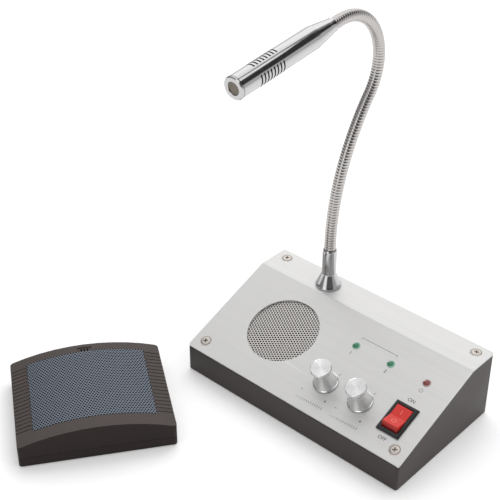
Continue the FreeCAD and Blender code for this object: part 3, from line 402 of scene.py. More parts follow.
def bumped(tree, shader, height, distance, strength=1.0):
    """Feeds a height into a shader's normal."""
    node = add(tree, "ShaderNodeBump", Strength=strength, Distance=distance)
    tree.links.new(height, node.inputs["Height"])
    tree.links.new(node.outputs["Normal"], shader.inputs["Normal"])


def tinted(tree, shader, value, dark, light):
    """Colours a shader between two colours by a value."""
    ramp = add(tree, "ShaderNodeValToRGB")
    ramp.color_ramp.elements[0].color = (*dark[:3], 1)
    ramp.color_ramp.elements[1].color = (*light[:3], 1)
    tree.links.new(value, ramp.inputs["Fac"])
    tree.links.new(ramp.outputs["Color"], shader.inputs["Base Color"])


def fill_ramp(ramp, stops):
    """Sets a colour ramp's grey stops."""
    while len(ramp.elements) < len(stops):
        ramp.elements.new(1.0)
    for element, (place, level) in zip(ramp.elements, stops):
        element.position = place
        element.color = (level, level, level, 1)


def shade(colour, share):
    """A colour made darker or lighter by a share."""
    return tuple(min(1.0, c * share) for c in colour[:3])


def brushed_aluminium(name, colour, roughness, along):
    """Sheet with fine brush lines along an axis: streaks in its gloss, colour and height."""
    material, tree, shader = finish(name, colour, 0.55, roughness, Anisotropic=0.35)
    fine = [2600.0] * 3
    fine[along] = 14.0
    broad = [420.0] * 3
    broad[along] = 9.0
    lines = noise(tree, fine, 4.0, 0.65)
    bands = noise(tree, broad, 2.0)
    tree.links.new(ranged(tree, lines, roughness - 0.05, roughness + 0.06), shader.inputs["Roughness"])
    tinted(tree, shader, ranged(tree, bands, 0.0, 1.0), shade(colour, 0.98), shade(colour, 1.015))
    bumped(tree, shader, lines, 0.006 * MM, 0.35)
    return material


def polished_chrome(name, colour, roughness):
    """Bright plating with a faint haze and wipe marks in its gloss."""
    material, tree, shader = finish(name, colour, 1.0, roughness)
    haze = noise(tree, (180.0, 180.0, 180.0), 4.0)
    tree.links.new(ranged(tree, haze, roughness * 0.6, roughness * 1.8), shader.inputs["Roughness"])
    ripple = noise(tree, (60.0, 60.0, 60.0), 1.0)
    bumped(tree, shader, ripple, 0.004 * MM, 0.15)
    return material


def spun_aluminium(name, colour, roughness, pitch):
    """Turned metal with fine tool rings about its own axis."""
    material, tree, shader = finish(name, colour, 1.0, roughness, Anisotropic=0.8,
                                    Anisotropic_Rotation=0.25)
    tangent = add(tree, "ShaderNodeTangent", direction_type="RADIAL", axis="Z")
    tree.links.new(tangent.outputs["Tangent"], shader.inputs["Tangent"])
    place = tree.nodes.new("ShaderNodeTexCoord")
    rings = add(tree, "ShaderNodeTexWave", wave_type="RINGS", rings_direction="Z", Scale=0.31 / pitch,
                Distortion=0.0)
    tree.links.new(place.outputs["Object"], rings.inputs["Vector"])
    grain = noise(tree, (300.0, 300.0, 300.0), 2.0)
    tree.links.new(ranged(tree, grain, roughness - 0.02, roughness + 0.03), shader.inputs["Roughness"])
    tinted(tree, shader, rings.outputs["Fac"], shade(colour, 0.97), shade(colour, 1.02))
    bumped(tree, shader, grain, 0.0005 * MM, 0.05)
    return material


def fine_paint(name, colour, roughness, grain):
    """Sprayed paint: an even colour with a fine leathery height and slightly uneven gloss."""
    material, tree, shader = finish(name, colour, 0.0, roughness, Specular_IOR_Level=0.25)
    peel = noise(tree, (1.0 / grain,) * 3, 2.0)
    patches = noise(tree, (35.0, 35.0, 35.0), 3.0)
    gloss = ranged(tree, patches, roughness - 0.05, roughness + 0.07)
    tree.links.new(gloss, shader.inputs["Roughness"])
    tinted(tree, shader, ranged(tree, patches, 0.0, 1.0), shade(colour, 0.93), shade(colour, 1.07))
    bumped(tree, shader, peel, 0.02 * MM, 0.3)
    return material


def moulded_plastic(name, colour, roughness, grain, depth=0.02, **sockets):
    """Moulded plastic: a spark-eroded grain and faint changes of colour."""
    material, tree, shader = finish(name, colour, 0.0, roughness, **sockets)
    pits = add(tree, "ShaderNodeTexVoronoi", Scale=1.0)
    tree.links.new(stretched(tree, (1.0 / grain,) * 3), pits.inputs["Vector"])
    patches = noise(tree, (45.0, 45.0, 45.0), 3.0)
    tinted(tree, shader, ranged(tree, patches, 0.0, 1.0), shade(colour, 0.92), shade(colour, 1.08))
    gloss = ranged(tree, patches, roughness - 0.04, roughness + 0.06)
    tree.links.new(gloss, shader.inputs["Roughness"])
    bumped(tree, shader, pits.outputs["Distance"], depth * MM, 0.35)
    return material


def plain_metal(name, colour, roughness):
    """Bare or plated metal with a cloudy gloss."""
    material, tree, shader = finish(name, colour, 1.0, roughness)
    cloud = noise(tree, (400.0, 400.0, 400.0), 4.0)
    tree.links.new(ranged(tree, cloud, roughness - 0.08, roughness + 0.12), shader.inputs["Roughness"])
    tinted(tree, shader, ranged(tree, cloud, 0.0, 1.0), shade(colour, 0.9), shade(colour, 1.05))
    bumped(tree, shader, cloud, 0.006 * MM, 0.3)
    return material


def tinted_lens(name, colour, rim):
    """A clear tinted lamp lens, deep in the middle, with a painted glow: a bright ring towards its edge
    that stands in for light through the lens.
    """
    material, tree, shader = finish(name, colour, 0.0, 0.08, Coat_Weight=1.0, Coat_Roughness=0.03)
    place = tree.nodes.new("ShaderNodeTexCoord")
    flat = add(tree, "ShaderNodeVectorMath", operation="MULTIPLY")
    flat.inputs[1].default_value = (1, 1, 0)
    tree.links.new(place.outputs["Object"], flat.inputs[0])
    reach = add(tree, "ShaderNodeVectorMath", operation="LENGTH")
    tree.links.new(flat.outputs["Vector"], reach.inputs[0])
    # Painted light: the colour runs from the deep tint to the pale glow colour by distance from the
    # axis
    edge = ranged(tree, reach.outputs["Value"], 0.0, 1.0, 1.75 * MM, 2.3 * MM)
    tinted(tree, shader, edge, colour, rim)
    speck = noise(tree, (1500.0, 1500.0, 1500.0), 2.0)
    tree.links.new(ranged(tree, speck, 0.05, 0.12), shader.inputs["Roughness"])
    return material


def printed_ink(name, colour):
    """Screen-printed ink, a little uneven."""
    material, tree, shader = finish(name, colour, 0.0, 0.5)
    blot = noise(tree, (1800.0, 1800.0, 1800.0), 2.0)
    tinted(tree, shader, ranged(tree, blot, 0.0, 1.0), shade(colour, 0.8), shade(colour, 1.3))
    return material


def paint_node(node, material):
    """Gives a CAD node its finish."""
    mesh = NODES[node].data
    mesh.materials.clear()
    mesh.materials.append(material)
    return NODES[node]


# Settings

def colour_property(name, description, default):
    """A colour that a user can set."""
    return FloatVectorProperty(name=name, description=description, default=default, size=3, min=0.0,
                               max=1.0, subtype="COLOR")


def length_property(name, description, default):
    """A length that a user can set."""
    return FloatProperty(name=name, description=description, default=default, unit="LENGTH",
                         precision=5)


class IntercomConsole(bpy.types.PropertyGroup):
    """Console casing and panel"""
    casing_colour: colour_property("Casing", "Paint of the console's tray", (0.048, 0.040, 0.0375))
    panel_colour: colour_property("Panel", "Brushed aluminium of the bent sheet", (0.64, 0.635, 0.63))
    panel_roughness: FloatProperty(name="Panel roughness", description="Gloss of the brushed sheet",
                                   default=0.42, min=0.0, max=1.0, subtype="FACTOR")
    ink_colour: colour_property("Ink", "Printed marks", (0.10, 0.09, 0.09))
    character_height: length_property("Characters", "Height of the printed characters", 3.1 * MM)
    ink_thickness: length_property("Ink thickness", "How far the marks stand off the panel", 0.02 * MM)


class IntercomGrille(bpy.types.PropertyGroup):
    """Desk loudspeaker's grille"""
    hole_diameter: length_property("Hole", "Diameter of one hole", 1.2 * MM)
    hole_pitch: length_property("Pitch", "Distance between neighbouring holes", 1.75 * MM)
    colour: colour_property("Steel", "Perforated steel", (0.66, 0.64, 0.62))
    reach: length_property("Pierced radius", "The holes fill this radius, past the opening's edge",
                           24.2 * MM)


class IntercomLamps(bpy.types.PropertyGroup):
    """Indicator lamps"""
    green: colour_property("Green", "Lens of the two level lamps", (0.005, 0.15, 0.06))
    # The rim colours are a painted glow at each lens's edge
    green_painted_glow: colour_property("Green rim", "Edge of the green lens", (0.42, 0.74, 0.60))
    red: colour_property("Red", "Lens of the power lamp", (0.16, 0.012, 0.012))
    red_painted_glow: colour_property("Red rim", "Edge of the red lens", (0.62, 0.42, 0.40))


class IntercomKnobs(bpy.types.PropertyGroup):
    """Volume knobs"""
    colour: colour_property("Aluminium", "Turned aluminium of the knobs", (0.73, 0.73, 0.73))
    top_diameter: length_property("Top", "Diameter across the top", 12.6 * MM)
    waist_diameter: length_property("Waist", "Diameter where the body is drawn in", 10.9 * MM)
    flange_diameter: length_property("Flange", "Diameter of the thin flange", 15.0 * MM)
    flange_thickness: length_property("Flange thickness", "Thickness of the flange", 0.6 * MM)
    ring_pitch: length_property("Tool rings", "Pitch of the turning marks", 0.45 * MM)


class IntercomSwitch(bpy.types.PropertyGroup):
    """Rocker switch"""
    rocker_colour: colour_property("Rocker", "Red of the rocker", (0.62, 0.032, 0.024))
    frame_colour: colour_property("Frame", "Black of the body", (0.006, 0.006, 0.007))
    mark_colour: colour_property("Marks", "I and O on the rocker", (0.72, 0.22, 0.17))


class IntercomNeck(bpy.types.PropertyGroup):
    """Gooseneck and its foot"""
    chrome: colour_property("Chrome", "Plating of the foot, neck and microphone", (0.60, 0.592, 0.60))
    rib_chrome: colour_property("Rib chrome", "Duller plating of the neck's ribs", (0.54, 0.52, 0.51))
    diameter: length_property("Neck", "Diameter over the ribs", 7.2 * MM)
    rib_pitch: length_property("Rib pitch", "Distance from one rib to the next", 1.76 * MM)
    rib_depth: length_property("Rib depth", "Depth of the grooves", 0.12 * MM)
    straight_start: length_property("Start", "Straight length above the stem", 3.6 * MM)
    lean_radius: length_property("Lean radius", "Radius of the long bend back", 144.7 * MM)
    lean_angle: FloatProperty(name="Lean", description="Angle of the long bend back",
                              default=math.radians(37.7), subtype="ANGLE")
    crook_radius: length_property("Crook radius", "Radius of the bend over the top", 34.4 * MM)
    crook_angle: FloatProperty(name="Crook", description="Angle of the bend over the top",
                               default=math.radians(134.7), subtype="ANGLE")
    straight_end: length_property("End", "Straight length before the microphone", 6.0 * MM)
    seat_depth: length_property("Seat", "How far the neck runs into the stem and the microphone",
                                5.0 * MM)


class IntercomMicrophone(bpy.types.PropertyGroup):
    """Microphone head"""
    length: length_property("Length", "From the neck to the front face", 78.0 * MM)
    diameter: length_property("Diameter", "Diameter of the tube", 13.4 * MM)
    neck_diameter: length_property("Neck end", "Diameter where the tube meets the neck", 8.6 * MM)
    taper: length_property("Taper", "Length of the tapered end", 17.0 * MM)
    wall: length_property("Wall", "Wall of the tube", 0.8 * MM)
    slot_count: IntProperty(name="Slots", description="Slots in each group", default=8, min=1)
    slot_pitch: length_property("Slot pitch", "Distance between slots", 2.46 * MM)
    slot_width: length_property("Slot width", "Width of a slot", 1.0 * MM)
    slot_front: length_property("First slot", "From the front face to the first slot", 14.6 * MM)
    slot_arc: FloatProperty(name="Slot arc", description="How far a slot runs round the tube",
                            default=math.radians(70), subtype="ANGLE")
    slot_turn: FloatProperty(name="Slot turn", description="Direction of the first group's middle",
                             default=math.radians(-11), subtype="ANGLE")
    slot_groups: IntProperty(name="Groups", description="Groups of slots round the tube", default=3)
    tip_length: length_property("Front ring", "Length of the bevelled ring", 1.5 * MM)
    opening: length_property("Opening", "Diameter of the opening in the ring", 7.4 * MM)
    mesh_pitch: length_property("Mesh pitch", "Distance between the holes of the mesh behind the ring",
                                0.5 * MM)


class IntercomOutside(bpy.types.PropertyGroup):
    """Outside unit"""
    cover_colour: colour_property("Cover", "Moulded cover and tray", (0.027, 0.0205, 0.0195))
    # Painted light: the lighter colour of the cover's faces that look up
    top_light_colour: colour_property("Painted_top_light", "Where the cover's faces look up", (0.088, 0.074, 0.070))
    mesh_colour: colour_property("Mesh", "Painted perforated steel", (0.14, 0.165, 0.205))
    mesh_pitch: length_property("Mesh pitch", "Distance between neighbouring holes", 1.69 * MM)
    mesh_hole: length_property("Mesh hole", "Diameter of one hole", 1.18 * MM)
    mesh_thickness: length_property("Thickness", "Thickness of the mesh", 0.5 * MM)
    crown: length_property("Crown", "Rise of the bowed top from its edges", 7.9 * MM)


class IntercomStage(bpy.types.PropertyGroup):
    """Camera, floor and light"""
    camera_place: FloatVectorProperty(name="Camera", description="Where the camera stands",
                                      default=(0.3370, -0.44753, 0.4728), subtype="TRANSLATION")
    camera_turn: FloatVectorProperty(name="Camera turn", description="Direction of the camera",
                                     default=(math.radians(56.268), math.radians(-0.063),
                                              math.radians(42.234)), subtype="EULER")
    focal_length: FloatProperty(name="Focal length", description="Lens, on a 36 mm sensor, in mm",
                                default=86.68)
    floor_colour: colour_property("Floor", "Floor and backdrop", (0.84, 0.84, 0.84))
    low_light: FloatProperty(name="Low light", description="Plain light from below and the front",
                             default=0.05)
    high_light: FloatProperty(name="High light", description="Plain light from above", default=1.0)
    key_power: FloatProperty(name="Key light", description="Large soft light overhead, in watts",
                             default=6.6)
    small_power: FloatProperty(name="Small light", description="Sparkle on lenses and edges, in watts",
                               default=1.3)
    side_power: FloatProperty(name="Side light", description="Soft light from the right, in watts",
                              default=1.5)


class IntercomSettings(bpy.types.PropertyGroup):
    """Everything that can be set"""
    console: PointerProperty(type=IntercomConsole)
    grille: PointerProperty(type=IntercomGrille)
    lamps: PointerProperty(type=IntercomLamps)
    knobs: PointerProperty(type=IntercomKnobs)
    switch: PointerProperty(type=IntercomSwitch)
    neck: PointerProperty(type=IntercomNeck)
    microphone: PointerProperty(type=IntercomMicrophone)
    outside: PointerProperty(type=IntercomOutside)
    stage: PointerProperty(type=IntercomStage)


# Console

class INTERCOM_OT_casing(bpy.types.Operator):
    """Paint the console's tray and finish its feet"""
    bl_idname = "intercom.casing"
    bl_label = "Casing"

    def execute(self, context):
        sizes = context.scene.intercom.console
        paint = fine_paint("Casing paint", sizes.casing_colour, 0.42, 0.45 * MM)
        tray = paint_node("base_casing", paint)
        soften(tray, 0.25 * MM)
        rubber = moulded_plastic("Rubber", (0.018, 0.018, 0.018), 0.8, 0.5 * MM)
        for node in ("rubber_feet", "outer_pads"):
            soften(paint_node(node, rubber), 0.3 * MM)
        return {"FINISHED"}


class INTERCOM_OT_panel(bpy.types.Operator):
    """Brush the bent sheet and set its screws"""
    bl_idname = "intercom.panel"
    bl_label = "Panel and screws"

    def execute(self, context):
        sizes = context.scene.intercom.console
        sheet = paint_node("top_panel", brushed_aluminium("Brushed sheet", sizes.panel_colour,
                                                          sizes.panel_roughness, 0))
        soften(sheet, 0.15 * MM)
        nickel = plain_metal("Nickel plate", (0.66, 0.62, 0.575), 0.42)
        shadow = printed_ink("Countersink edge", (0.20, 0.15, 0.12))
        far = BOXES["panel_screws"][1]
        side = far.x - SCREW_HEAD
        for x in (-side, side):
            for name, place in (("slope", on_slope(x, SCREW_ROW)),
                                ("top", Matrix.Translation((x, far.y - SCREW_HEAD, FLAT_TOP)))):
                self.screw("screw_%s_%s" % (name, "left" if x < 0 else "right"), place, nickel, shadow)
        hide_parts("panel_screws")
        return {"FINISHED"}

    def screw(self, name, place, nickel, shadow):
        """A countersunk head with a cross recess, in a fine groove with a painted shadow ring."""
        groove, foot, floor = 2.95 * MM, -2.2 * MM, -0.2 * MM
        profile = rounded([(0, foot), (1.4 * MM, foot), (SCREW_HEAD, -0.02 * MM),
                           (SCREW_HEAD, 0.03 * MM), (groove + 0.15 * MM, 0.03 * MM),
                           (groove + 0.1 * MM, floor), (groove - 0.1 * MM, floor),
                           (groove - 0.2 * MM, 0.06 * MM), (1.9 * MM, 0.24 * MM), (0, 0.28 * MM)],
                          0.12 * MM)
        profile[0].x = profile[-1].x = 0
        head = piece_from(name, *lathe(profile, 40), nickel, place @ Matrix.Rotation(0.5, 4, "Z"))
        arm, half, recess = 1.5 * MM, 0.42 * MM, -1.4 * MM
        carve(head, *block(arm, half, recess, 1 * MM))
        carve(head, *block(half, arm, recess, 1 * MM))
        settle(head, "console", "screw_nickel")
        # A dark flat ring in the groove round the head: painted shadow of the countersink
        edge = flat_piece(name + "_edge", ring_loops(groove, 0.24 * MM), shadow,
                          place @ Matrix.Translation((0, 0, -0.18 * MM)), 0.1 * MM)
        settle(edge, "console", "casing_black")


SCREW_HEAD = 3.5 * MM      # radius of a panel screw's head
SCREW_ROW = 7.7 * MM       # of the front screws, up the slope


class INTERCOM_OT_marks(bpy.types.Operator):
    """Print the generic marks on the panel"""
    bl_idname = "intercom.marks"
    bl_label = "Printed marks"

    def execute(self, context):
        sizes = context.scene.intercom.console
        self.ink = printed_ink("Ink", sizes.ink_colour)
        self.thick = sizes.ink_thickness
        self.high = sizes.character_height
        columns = [joint_place(name)[0].x
                   for name in ("inside_volume", "outside_volume", "power_rocker")]
        for column, x in enumerate(columns[:2]):
            side = ("inside", "outside")[column]
            self.print_shape("minus_" + side, [bar(-0.75 * MM, -0.14 * MM, 0.75 * MM, 0.14 * MM)],
                             x - 9.5 * MM, SIGN_ROW)
            self.print_shape("plus_" + side, [bar(-0.7 * MM, -0.2 * MM, 0.7 * MM, 0.2 * MM),
                                              bar(-0.2 * MM, 0.2 * MM, 0.2 * MM, 0.7 * MM),
                                              bar(-0.2 * MM, -0.7 * MM, 0.2 * MM, -0.2 * MM)],
                             x + 7.6 * MM, SIGN_ROW)
            self.print_shape("tick_" + side, [bar(-0.13 * MM, -0.9 * MM, 0.13 * MM, 0.9 * MM)],
                             x + 4.1 * MM, TICK_ROW, math.radians(-26))
            scale = []
            for step in range(13):
                left, tall = (step * 1.5 - 9.0) * MM, (0.6 + step * 0.11) * MM
                scale.append(bar(left - 0.17 * MM, -0.9 * MM, left + 0.17 * MM, tall - 0.9 * MM))
            self.print_shape("scale_" + side, scale, x - 0.4 * MM, SCALE_ROW)
            self.print_words("number_" + side, str(column + 1), x, NUMBER_ROW)
        span = (columns[1] - columns[0]) / 2
        centre = (columns[0] + columns[1]) / 2
        rise, line = 1.1 * MM, 0.14 * MM
        self.print_shape("bracket", [bar(-span, -line, span, line),
                                     bar(-span - 2 * line, -rise, -span, line),
                                     bar(span, -rise, span + 2 * line, line)], centre, BRACKET_ROW)
        self.print_shape("power_sign", ring_loops(1.15 * MM, 0.26 * MM, 1.3)
                         + [bar(-0.13 * MM, 0.35 * MM, 0.13 * MM, 1.6 * MM)], columns[2], NUMBER_ROW)
        self.print_words("switch_on", "ON", columns[2] - 0.6 * MM, ON_ROW)
        self.print_words("switch_off", "OFF", columns[2] - 0.7 * MM, OFF_ROW)
        return {"FINISHED"}

    def print_shape(self, name, loops, x, row, turn=0.0):
        """Prints flat shapes on the slope, turned by an angle."""
        place = on_slope(x, row) @ Matrix.Rotation(turn, 4, "Z")
        mark = flat_piece("mark_" + name, loops, self.ink, place, self.thick)
        settle(mark, "console", "casing_black")

    def print_words(self, name, words, x, row):
        """Prints characters on the slope."""
        piece = text_piece("mark_" + name, words, self.high, self.ink, on_slope(x, row), self.thick)
        settle(piece, "console", "casing_black")


# Rows of the marks, up the slope
SCALE_ROW, SIGN_ROW, TICK_ROW = 6.9 * MM, 11.9 * MM, 30.9 * MM
NUMBER_ROW, BRACKET_ROW = 46.2 * MM, 58.4 * MM
OFF_ROW, ON_ROW = 9.9 * MM, 37.9 * MM


class INTERCOM_OT_speaker_grille(bpy.types.Operator):
    """Pierce the desk loudspeaker's grille with its fine staggered holes"""
    bl_idname = "intercom.speaker_grille"
    bl_label = "Loudspeaker grille"

    def execute(self, context):
        sizes = context.scene.intercom.grille
        steel = plain_metal("Grille steel", sizes.colour, 0.4)
        shadow = plain_metal("Hole walls", shade(sizes.colour, 0.12), 0.5)
        low, high = BOXES["speaker_grille"]
        centre = slope_place().inverted() @ middle("speaker_grille")
        thickness = 0.8 * MM
        top = centre.z + thickness / 2
        rim = (high[0] - low[0]) / 2
        pitch = sizes.hole_pitch
        verts, faces = pierced_sheet(pitch, sizes.hole_diameter,
                                     lambda place: place.length < sizes.reach)
        sheet = piece_from("grille_pierced", verts, faces, steel, on_slope(centre.x, centre.y, top))
        sheet.data.materials.append(shadow)
        thicken(sheet, thickness, -1.0, 1)
        settle(sheet, "console", "grille_silver", "speaker_grille")
        inner = sizes.reach - pitch
        ring = [(inner, -thickness * 0.9), (rim, -thickness * 0.9), (rim, -thickness * 0.1),
                (inner, -thickness * 0.1), (inner, -thickness * 0.9)]
        rim_piece = piece_from("grille_rim", *lathe(ring, 96), steel, on_slope(centre.x, centre.y, top))
        settle(rim_piece, "console", "grille_silver")
        return {"FINISHED"}


class INTERCOM_OT_lamps(bpy.types.Operator):
    """Dome the three indicator lamps"""
    bl_idname = "intercom.lamps"
    bl_label = "Indicator lamps"

    def execute(self, context):
        sizes = context.scene.intercom.lamps
        green = tinted_lens("Green lens", sizes.green, sizes.green_painted_glow)
        red = tinted_lens("Red lens", sizes.red, sizes.red_painted_glow)
        for node, material, slot in (("lamp_inside", green, "lens_green"),
                                     ("lamp_outside", green, "lens_green"),
                                     ("lamp_power", red, "lens_red")):
            dome = []
            radius, rise = 2.35 * MM, 1.15 * MM
            for step in range(9):
                angle = step * math.pi / 16
                dome.append((radius * math.cos(angle), rise * math.sin(angle)))
            dome[-1] = (0, dome[-1][1])
            collar, root, ledge = 2.9 * MM, -2.4 * MM, -1.25 * MM
            profile = [(0, root), (collar, root), (collar, ledge), (radius, ledge)] + dome
            lens = piece_from(node + "_lens", *lathe(profile, 40), material,
                              on_slope(middle(node).x, LAMP_ROW))
            settle(lens, "console", slot, node)
            catch(lens)
        return {"FINISHED"}


LAMP_ROW = 51.9 * MM       # up the slope


class INTERCOM_OT_knobs(bpy.types.Operator):
    """Turn the two volume knobs"""
    bl_idname = "intercom.knobs"
    bl_label = "Volume knobs"

    def execute(self, context):
        sizes = context.scene.intercom.knobs
        # The turned side takes a lighter copy of the aluminium (x1.12) than the faced top: painted
        # light on the side
        metal = spun_aluminium("Turned aluminium", shade(sizes.colour, 1.12), 0.13, sizes.ring_pitch)
        faced = spun_aluminium("Faced aluminium", sizes.colour, 0.27, sizes.ring_pitch)
        line = printed_ink("Knob line", (0.05, 0.05, 0.05))
        flange, top = sizes.flange_diameter / 2, sizes.top_diameter / 2
        foot, crown, bore = 0.4 * MM, 15.2 * MM, 5.6 * MM
        under = foot + sizes.flange_thickness
        profile = [(bore, 2.0 * MM), (bore, foot), (flange, foot), (flange, under)]
        profile += self.body(flange - 0.45 * MM, sizes.waist_diameter / 2, top, under, crown)
        profile += [(top, crown - 0.35 * MM), (top - 0.35 * MM, crown), (0, crown)]
        for side in ("inside", "outside"):
            centre, axis = joint_place(side + "_volume")
            place = frame_from(centre - axis * JOINT_LIFT, axis)
            knob = piece_from("knob_body_" + side, *lathe(profile, 72), metal, place, 25)
            knob.data.materials.append(faced)
            for polygon in knob.data.polygons:
                if polygon.center.z > crown - 0.3 * MM:
                    polygon.material_index = 1
            edge = soften(knob, 0.12 * MM, 2, 40)
            edge.harden_normals = False
            settle(knob, side + "_knob", "knob_silver", "knob_" + side)
            catch(knob)
            pointer = bar(flange - 0.9 * MM, -0.16 * MM, flange - 0.05 * MM, 0.16 * MM)
            index = flat_piece("knob_line_" + side, [pointer], line,
                               place @ Matrix.Translation((0, 0, under)), 0.02 * MM)
            settle(index, side + "_knob", "casing_black")
        return {"FINISHED"}

    def body(self, foot, waist, top, under, crown):
        """The side's radii and heights: flared at the foot, drawn in, and out again at the top."""
        points = []
        for step in range(17):
            share = 0.02 + 0.88 * step / 16
            swell, reach = (foot - waist, 0.6) if share < WAIST_HEIGHT else (top - waist, 0.28)
            radius = waist + swell * (abs(share - WAIST_HEIGHT) / reach) ** 2.1
            points.append((radius, under + (crown - under) * share))
        return points


WAIST_HEIGHT = 0.62        # of the knob's waist, as a share of its body's height


class INTERCOM_OT_switch(bpy.types.Operator):
    """Finish the switch's frame and its red rocker"""
    bl_idname = "intercom.switch"
    bl_label = "Rocker switch"

    def execute(self, context):
        sizes = context.scene.intercom.switch
        black = moulded_plastic("Switch black", sizes.frame_colour, 0.3, 0.3 * MM, 0.006)
        red = moulded_plastic("Rocker red", sizes.rocker_colour, 0.3, 0.4 * MM, 0.004,
                              Specular_IOR_Level=0.35)
        # Painted shade on the rocker's raised end, darker towards the panel
        self.paint_end_shade(red)
        pale = printed_ink("Rocker marks", sizes.mark_colour)
        soften(paint_node("switch_housing", black), 0.35 * MM)
        soften(paint_node("switch_rocker", red), 0.5 * MM, 3)
        pivot = joint_place("power_rocker")[0]
        rocker = (frame_from(pivot, slope_place().col[2].to_3d())
                  @ Matrix.Rotation(math.radians(-11), 4, "X"))
        lean = math.atan2(1.6, 7.05)      # of each half of the face, from the rocker's middle
        for name, side, loops in (("on", 1, [bar(-0.17 * MM, -1.4 * MM, 0.17 * MM, 1.4 * MM)]),
                                  ("off", -1, ring_loops(1.3 * MM, 0.32 * MM))):
            face = rocker @ Matrix.Translation((0, 0, 2.7 * MM)) @ Matrix.Rotation(side * lean, 4, "X")
            place = face @ Matrix.Translation((0, side * 3.7 * MM, 0))
            mark = flat_piece("rocker_mark_" + name, loops, pale, place, 0.03 * MM)
            settle(mark, "rocker", "rocker_red")
        return {"FINISHED"}

    def paint_end_shade(self, red):
        """Paints shade on the raised end's face: its colour goes darker towards the panel."""
        tree = red.node_tree
        shader = tree.nodes["Principled BSDF"]
        place = tree.nodes.new("ShaderNodeTexCoord")
        slope = slope_place()
        pivot = joint_place("power_rocker")[0]
        values = []
        for column, low, high in ((1, -7.3 * MM, -6.3 * MM), (2, 0.3 * MM, 6.0 * MM)):
            axis = slope.col[column].to_3d()
            dot = add(tree, "ShaderNodeVectorMath", operation="DOT_PRODUCT")
            dot.inputs[1].default_value = axis
            tree.links.new(place.outputs["Object"], dot.inputs[0])
            start = pivot.dot(axis)
            values.append(ranged(tree, dot.outputs["Value"], 0.0, 1.0, start + low, start + high))
        unshaded_share = add(tree, "ShaderNodeMath", operation="MAXIMUM")
        for value, socket in zip(values, unshaded_share.inputs):
            tree.links.new(value, socket)
        mix = add(tree, "ShaderNodeMix", data_type="RGBA", blend_type="MULTIPLY")
        mix.inputs[0].default_value = 1.0
        tree.links.new(shader.inputs["Base Color"].links[0].from_socket, mix.inputs[6])
        tree.links.new(ranged(tree, unshaded_share.outputs["Value"], 0.12, 1.0, 0.0, 1.0), mix.inputs[7])
        tree.links.new(mix.outputs[2], shader.inputs["Base Color"])


# Microphone and neck

def neck_point(sizes, s):
    """The neck's centre and its lean at a length from the top of the stem."""
    low, high = BOXES["mic_socket"]
    y, z, lean = (low[1] + high[1]) / 2, high[2], 0.0
    run = min(s, sizes.straight_start)
    z += run
    s -= run
    for radius, turn in ((sizes.lean_radius, sizes.lean_angle),
                         (sizes.crook_radius, -sizes.crook_angle)):
        if s <= 0:
            break
        part = min(s / (radius * abs(turn)), 1.0) * turn
        side = 1 if turn > 0 else -1
        y += side * radius * (math.cos(lean) - math.cos(lean + part))
        z += side * radius * (math.sin(lean + part) - math.sin(lean))
        lean += part
        s -= radius * abs(part)
    if s > 0:
        y, z = y + s * math.sin(lean), z + s * math.cos(lean)
    return Vector(((low[0] + high[0]) / 2, y, z)), lean


def neck_length(sizes):
    """From the top of the stem to the microphone."""
    return (sizes.straight_start + sizes.lean_radius * sizes.lean_angle
            + sizes.crook_radius * sizes.crook_angle + sizes.straight_end)


class INTERCOM_OT_foot(bpy.types.Operator):
    """Turn the microphone's chrome foot and stem"""
    bl_idname = "intercom.foot"
    bl_label = "Microphone foot"

    def execute(self, context):
        sizes = context.scene.intercom.neck
        chrome = polished_chrome("Chrome foot", shade(sizes.chrome, 0.9), 0.08)
        low, high = BOXES["mic_socket"]
        place = Matrix.Translation(((low[0] + high[0]) / 2, (low[1] + high[1]) / 2, FLAT_TOP))
        top = high[2] - FLAT_TOP
        tail = low[2] - FLAT_TOP
        bore, tube, socket = 1.5 * MM, 4.4 * MM, 3.65 * MM
        profile = [(bore, tail), (5.0 * MM, tail), (5.0 * MM, 0), (8.0 * MM, 0), (8.0 * MM, 1.1 * MM),
                   (7.3 * MM, 2.1 * MM), (4.45 * MM, 9.0 * MM), (tube, 10.2 * MM),
                   (tube, top - 0.9 * MM), (3.9 * MM, top), (socket, top), (socket, top - 5 * MM),
                   (bore, top - 5 * MM), (bore, tail)]
        foot = piece_from("mic_foot", *lathe(rounded(profile, 0.35 * MM), 96), chrome, place, 40)
        settle(foot, "console", "chrome", "mic_socket")
        return {"FINISHED"}


